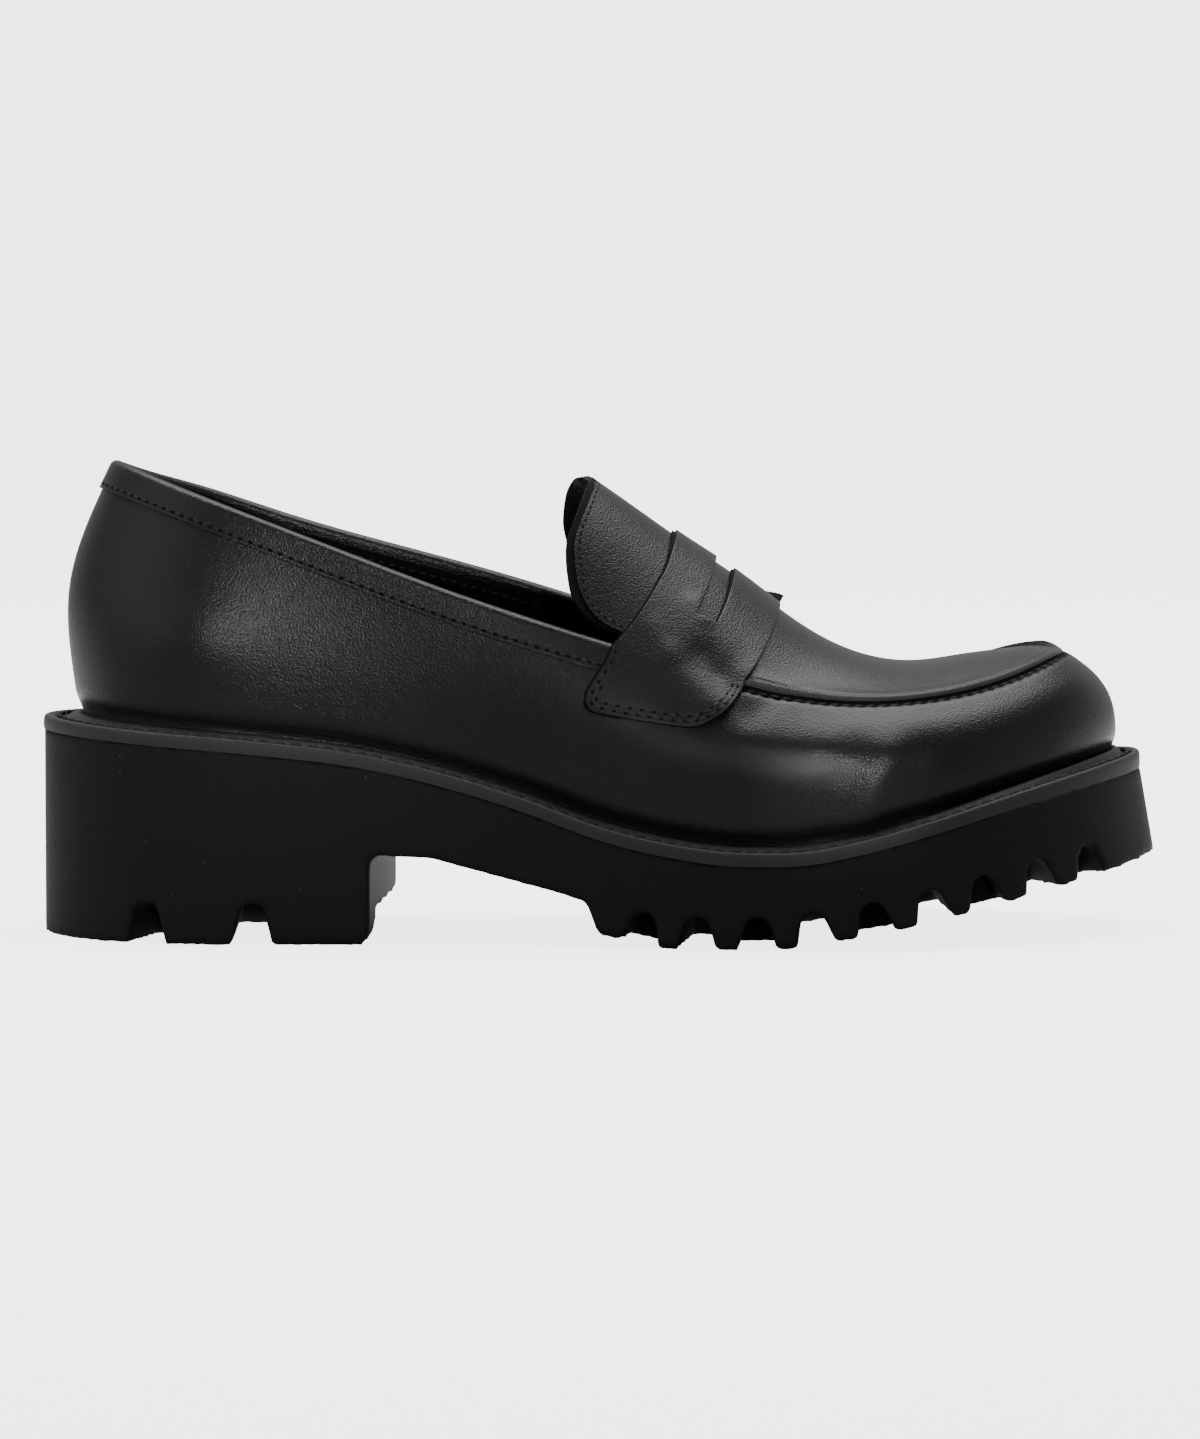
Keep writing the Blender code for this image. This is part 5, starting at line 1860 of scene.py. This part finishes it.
@dataclass
class Insole(Assembly):
    """Footbed inside the upper, covered with lining leather."""

    node: ClassVar[str] = "insole"
    slot: ClassVar[str] = "insole_lining"
    inset: float = 3.3
    thickness: float = 3.0
    crown: float = 0.5
    pitch: float = 2.0
    spine_ends: tuple[float, float] = (-106.0, 100.0)
    stitch_share: float = 0.18

    def build(self) -> None:
        """Make the footbed and the stitches near its edge."""
        q = self.last.spaced(0.0, float(self.last.count), self.pitch, Line.FEATHER)
        share = np.concatenate([[0.0, 0.01, 0.025, 0.05], np.linspace(0.09, 1.0, 16)])
        points = self._bed(q, share)
        bed = Workbench.grid("footbed", points)
        bed = Workbench.join("footbed", [bed], merge=0.05)
        Workbench.thicken(bed, self.thickness, even=False)
        Workbench.smooth(bed, 45.0)
        path = self._bed(q, np.array([self.stitch_share]))[:, 0]
        up = np.broadcast_to(UP, path.shape)
        row = StitchRow(pitch=3.4, length=2.2, width=0.6, proud=0.15)
        self.pieces = [bed, row.sew("footbed_stitches", path, up, self.wardrobe)]

    def _bed(self, q: np.ndarray, share: np.ndarray) -> np.ndarray:
        """Top of the footbed from its edge in to its middle line."""
        row = self.last.row(q)
        edge = row[:, 0:2] - self.last.outward(q, Line.FEATHER)[:, 0:2] * self.inset
        spine_x = np.clip(edge[:, 0], *self.spine_ends)
        mate = self.last.row(self.last.count - q)
        spine = np.column_stack([spine_x, (row[:, 1] + mate[:, 1]) / 2.0])
        plan = edge[:, None, :] + (spine - edge)[:, None, :] * share[None, :, None]
        level = self.last.sole_top(plan[..., 0]) + GAP + self.thickness
        level = level - self.crown * (1.0 - ease(0.0, 0.05, share))[None, :]
        return np.concatenate([plan, level[..., None]], axis=-1)

    def dress(self) -> None:
        """Give the footbed its lining leather."""
        self.paint(self.pieces[0], self.wardrobe.lining)


class LampPlace(NamedTuple):
    """A lamp: where it stands, what it looks at, its size, its power and the spread of its grid."""

    name: str
    place: tuple[float, float, float]
    aim: tuple[float, float, float]
    width: float
    height: float
    power: float
    spread: float


LAMPS = (
    LampPlace("overhead", (0.05, 0.20, 1.4), (0.05, 0.18, 0.0), 1.5, 1.15, 23.0, 180.0),
    LampPlace("key", (0.24, -2.0, 0.45), (-0.09, 0.0, 0.08), 0.06, 0.08, 0.0105, 5.6),
    LampPlace("tab_key", (0.24, -2.0, 0.45), (0.022, -0.035, 0.073), 0.04, 0.04, 0.0016, 1.6),
    LampPlace("crease_key", (0.24, -2.0, 0.45), (0.060, -0.042, 0.043), 0.03, 0.03, 0.0010, 0.9),
)


@dataclass
class Studio:
    """Wide pale floor, lamps, light from all round and the camera."""

    pale: Colour = (0.80, 0.80, 0.80)
    near: Colour = (0.36, 0.36, 0.36)
    dim: Colour = (0.16, 0.16, 0.16)
    back: Colour = (0.42, 0.42, 0.42)
    glow: float = 3.4
    ambient: float = 0.15
    backdrop: float = 0.48
    fill: float = 0.60
    side: float = 0.20
    reach: float = 60000.0
    camera_place: tuple[float, float, float] = (0.0, -2.1916, 0.2444)
    camera_aim: tuple[float, float, float] = (0.0, 0.0, 0.0527)
    lens: float = 220.15
    sensor: float = 36.0

    def build(self) -> None:
        """Set the stage round the shoe."""
        self._floor()
        self._lamps()
        self._world()
        self._camera()

    def _floor(self) -> None:
        """Level pale floor that throws less light back on the shoe in front of it than behind."""
        line = np.array([-self.reach, -900.0, 0.0, 900.0, self.reach])
        points = np.array([[(x, y, 0.0) for y in line] for x in line])
        floor = Workbench.grid("floor", points)
        bench = ShaderBench.named("pale_floor")
        seen = bench.camera_ray()
        place = bench.add("ShaderNodeSeparateXYZ", {}, {0: bench.place})
        across, away = (Value(bench, place.outputs[axis]) for axis in ("X", "Y"))
        behind = away.eased(-0.05, 0.12)
        middle = across.eased(-0.35, -0.15) * (1.0 - across.eased(0.18, 0.45))
        lit = behind * (1.0 - away.eased(0.35, 0.8)) * middle
        before = bench.mix(away.eased(-0.42, -0.2), shade(self.dim), shade(self.near))
        thrown = bench.mix(behind, before, shade(self.pale))
        glowing = bench.mix(lit, shade(self.pale, 0.0), shade(self.back))
        bench.set(
            Base_Color=bench.mix(seen, thrown, shade(self.pale)),
            Emission_Color=bench.mix(seen, glowing, WHITE),
            Emission_Strength=self.glow, Roughness=1.0, Specular_IOR_Level=0.0,
        )
        floor.data.materials.append(bench.owner)

    def _lamps(self) -> None:
        """One wide lamp overhead, and narrow ones with grids that pick out heel, tab and crease."""
        for lamp in LAMPS:
            data = bpy.data.lights.new(lamp.name, "AREA")
            data.shape = "RECTANGLE"
            data.size, data.size_y = lamp.width, lamp.height
            data.energy = lamp.power
            data.spread = math.radians(lamp.spread)
            holder = bpy.data.objects.new(lamp.name, data)
            holder.location = lamp.place
            aim = Vector(lamp.aim) - Vector(lamp.place)
            holder.rotation_euler = aim.to_track_quat("-Z", "Y").to_euler()
            holder.visible_camera = False
            bpy.context.scene.collection.objects.link(holder)

    def _world(self) -> None:
        """Soft light from all round: a pale backdrop, a fill from the front left and one from the right."""
        world = bpy.data.worlds.new("studio")
        bench = ShaderBench(world)
        heading = bench.add("ShaderNodeSeparateXYZ", {}, {0: bench.heading})
        across, away, rise = (Value(bench, heading.outputs[axis]) for axis in ("X", "Y", "Z"))
        high = rise.eased(0.3, 0.6)
        behind = away.eased(0.0, 0.7) * (0.66 + 0.34 * high)
        front_left = (1.0 - across.eased(-0.75, -0.15)) * (1.0 - away.eased(-0.3, 0.3))
        right = across.eased(0.3, 0.8) * (1.0 - high)
        light = self.ambient + self.backdrop * behind + self.fill * front_left + self.side * right
        seen = bench.camera_ray()
        bench.set(Color=(0.96, 0.98, 1.0, 1.0), Strength=light * (1.0 - seen) + (self.glow + 0.5) * seen)
        bpy.context.scene.world = world

    def _camera(self) -> None:
        """Camera at the photograph's angle."""
        data = bpy.data.cameras.new("camera")
        data.lens = self.lens
        data.sensor_width = self.sensor
        data.clip_end = 100.0
        camera = bpy.data.objects.new("camera", data)
        camera.location = self.camera_place
        aim = Vector(self.camera_aim) - Vector(self.camera_place)
        camera.rotation_euler = aim.to_track_quat("-Z", "Y").to_euler()
        bpy.context.scene.collection.objects.link(camera)
        bpy.context.scene.camera = camera


def main() -> None:
    """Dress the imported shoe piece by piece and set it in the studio."""
    logging.basicConfig(level=logging.INFO, format="%(name)s: %(message)s")
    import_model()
    last = Last(SECTIONS)
    wardrobe = Wardrobe()
    assemblies = (
        Upper(last, wardrobe), Tongue(last, wardrobe), SaddleStrap(last, wardrobe),
        CollarBinding(last, wardrobe), Welt(last, wardrobe), LugSole(last, wardrobe),
        Insole(last, wardrobe),
    )
    for assembly in assemblies:
        assembly.build()
        assembly.dress()
        assembly.mount()
    Studio().build()


if __name__ == "__main__":
    main()
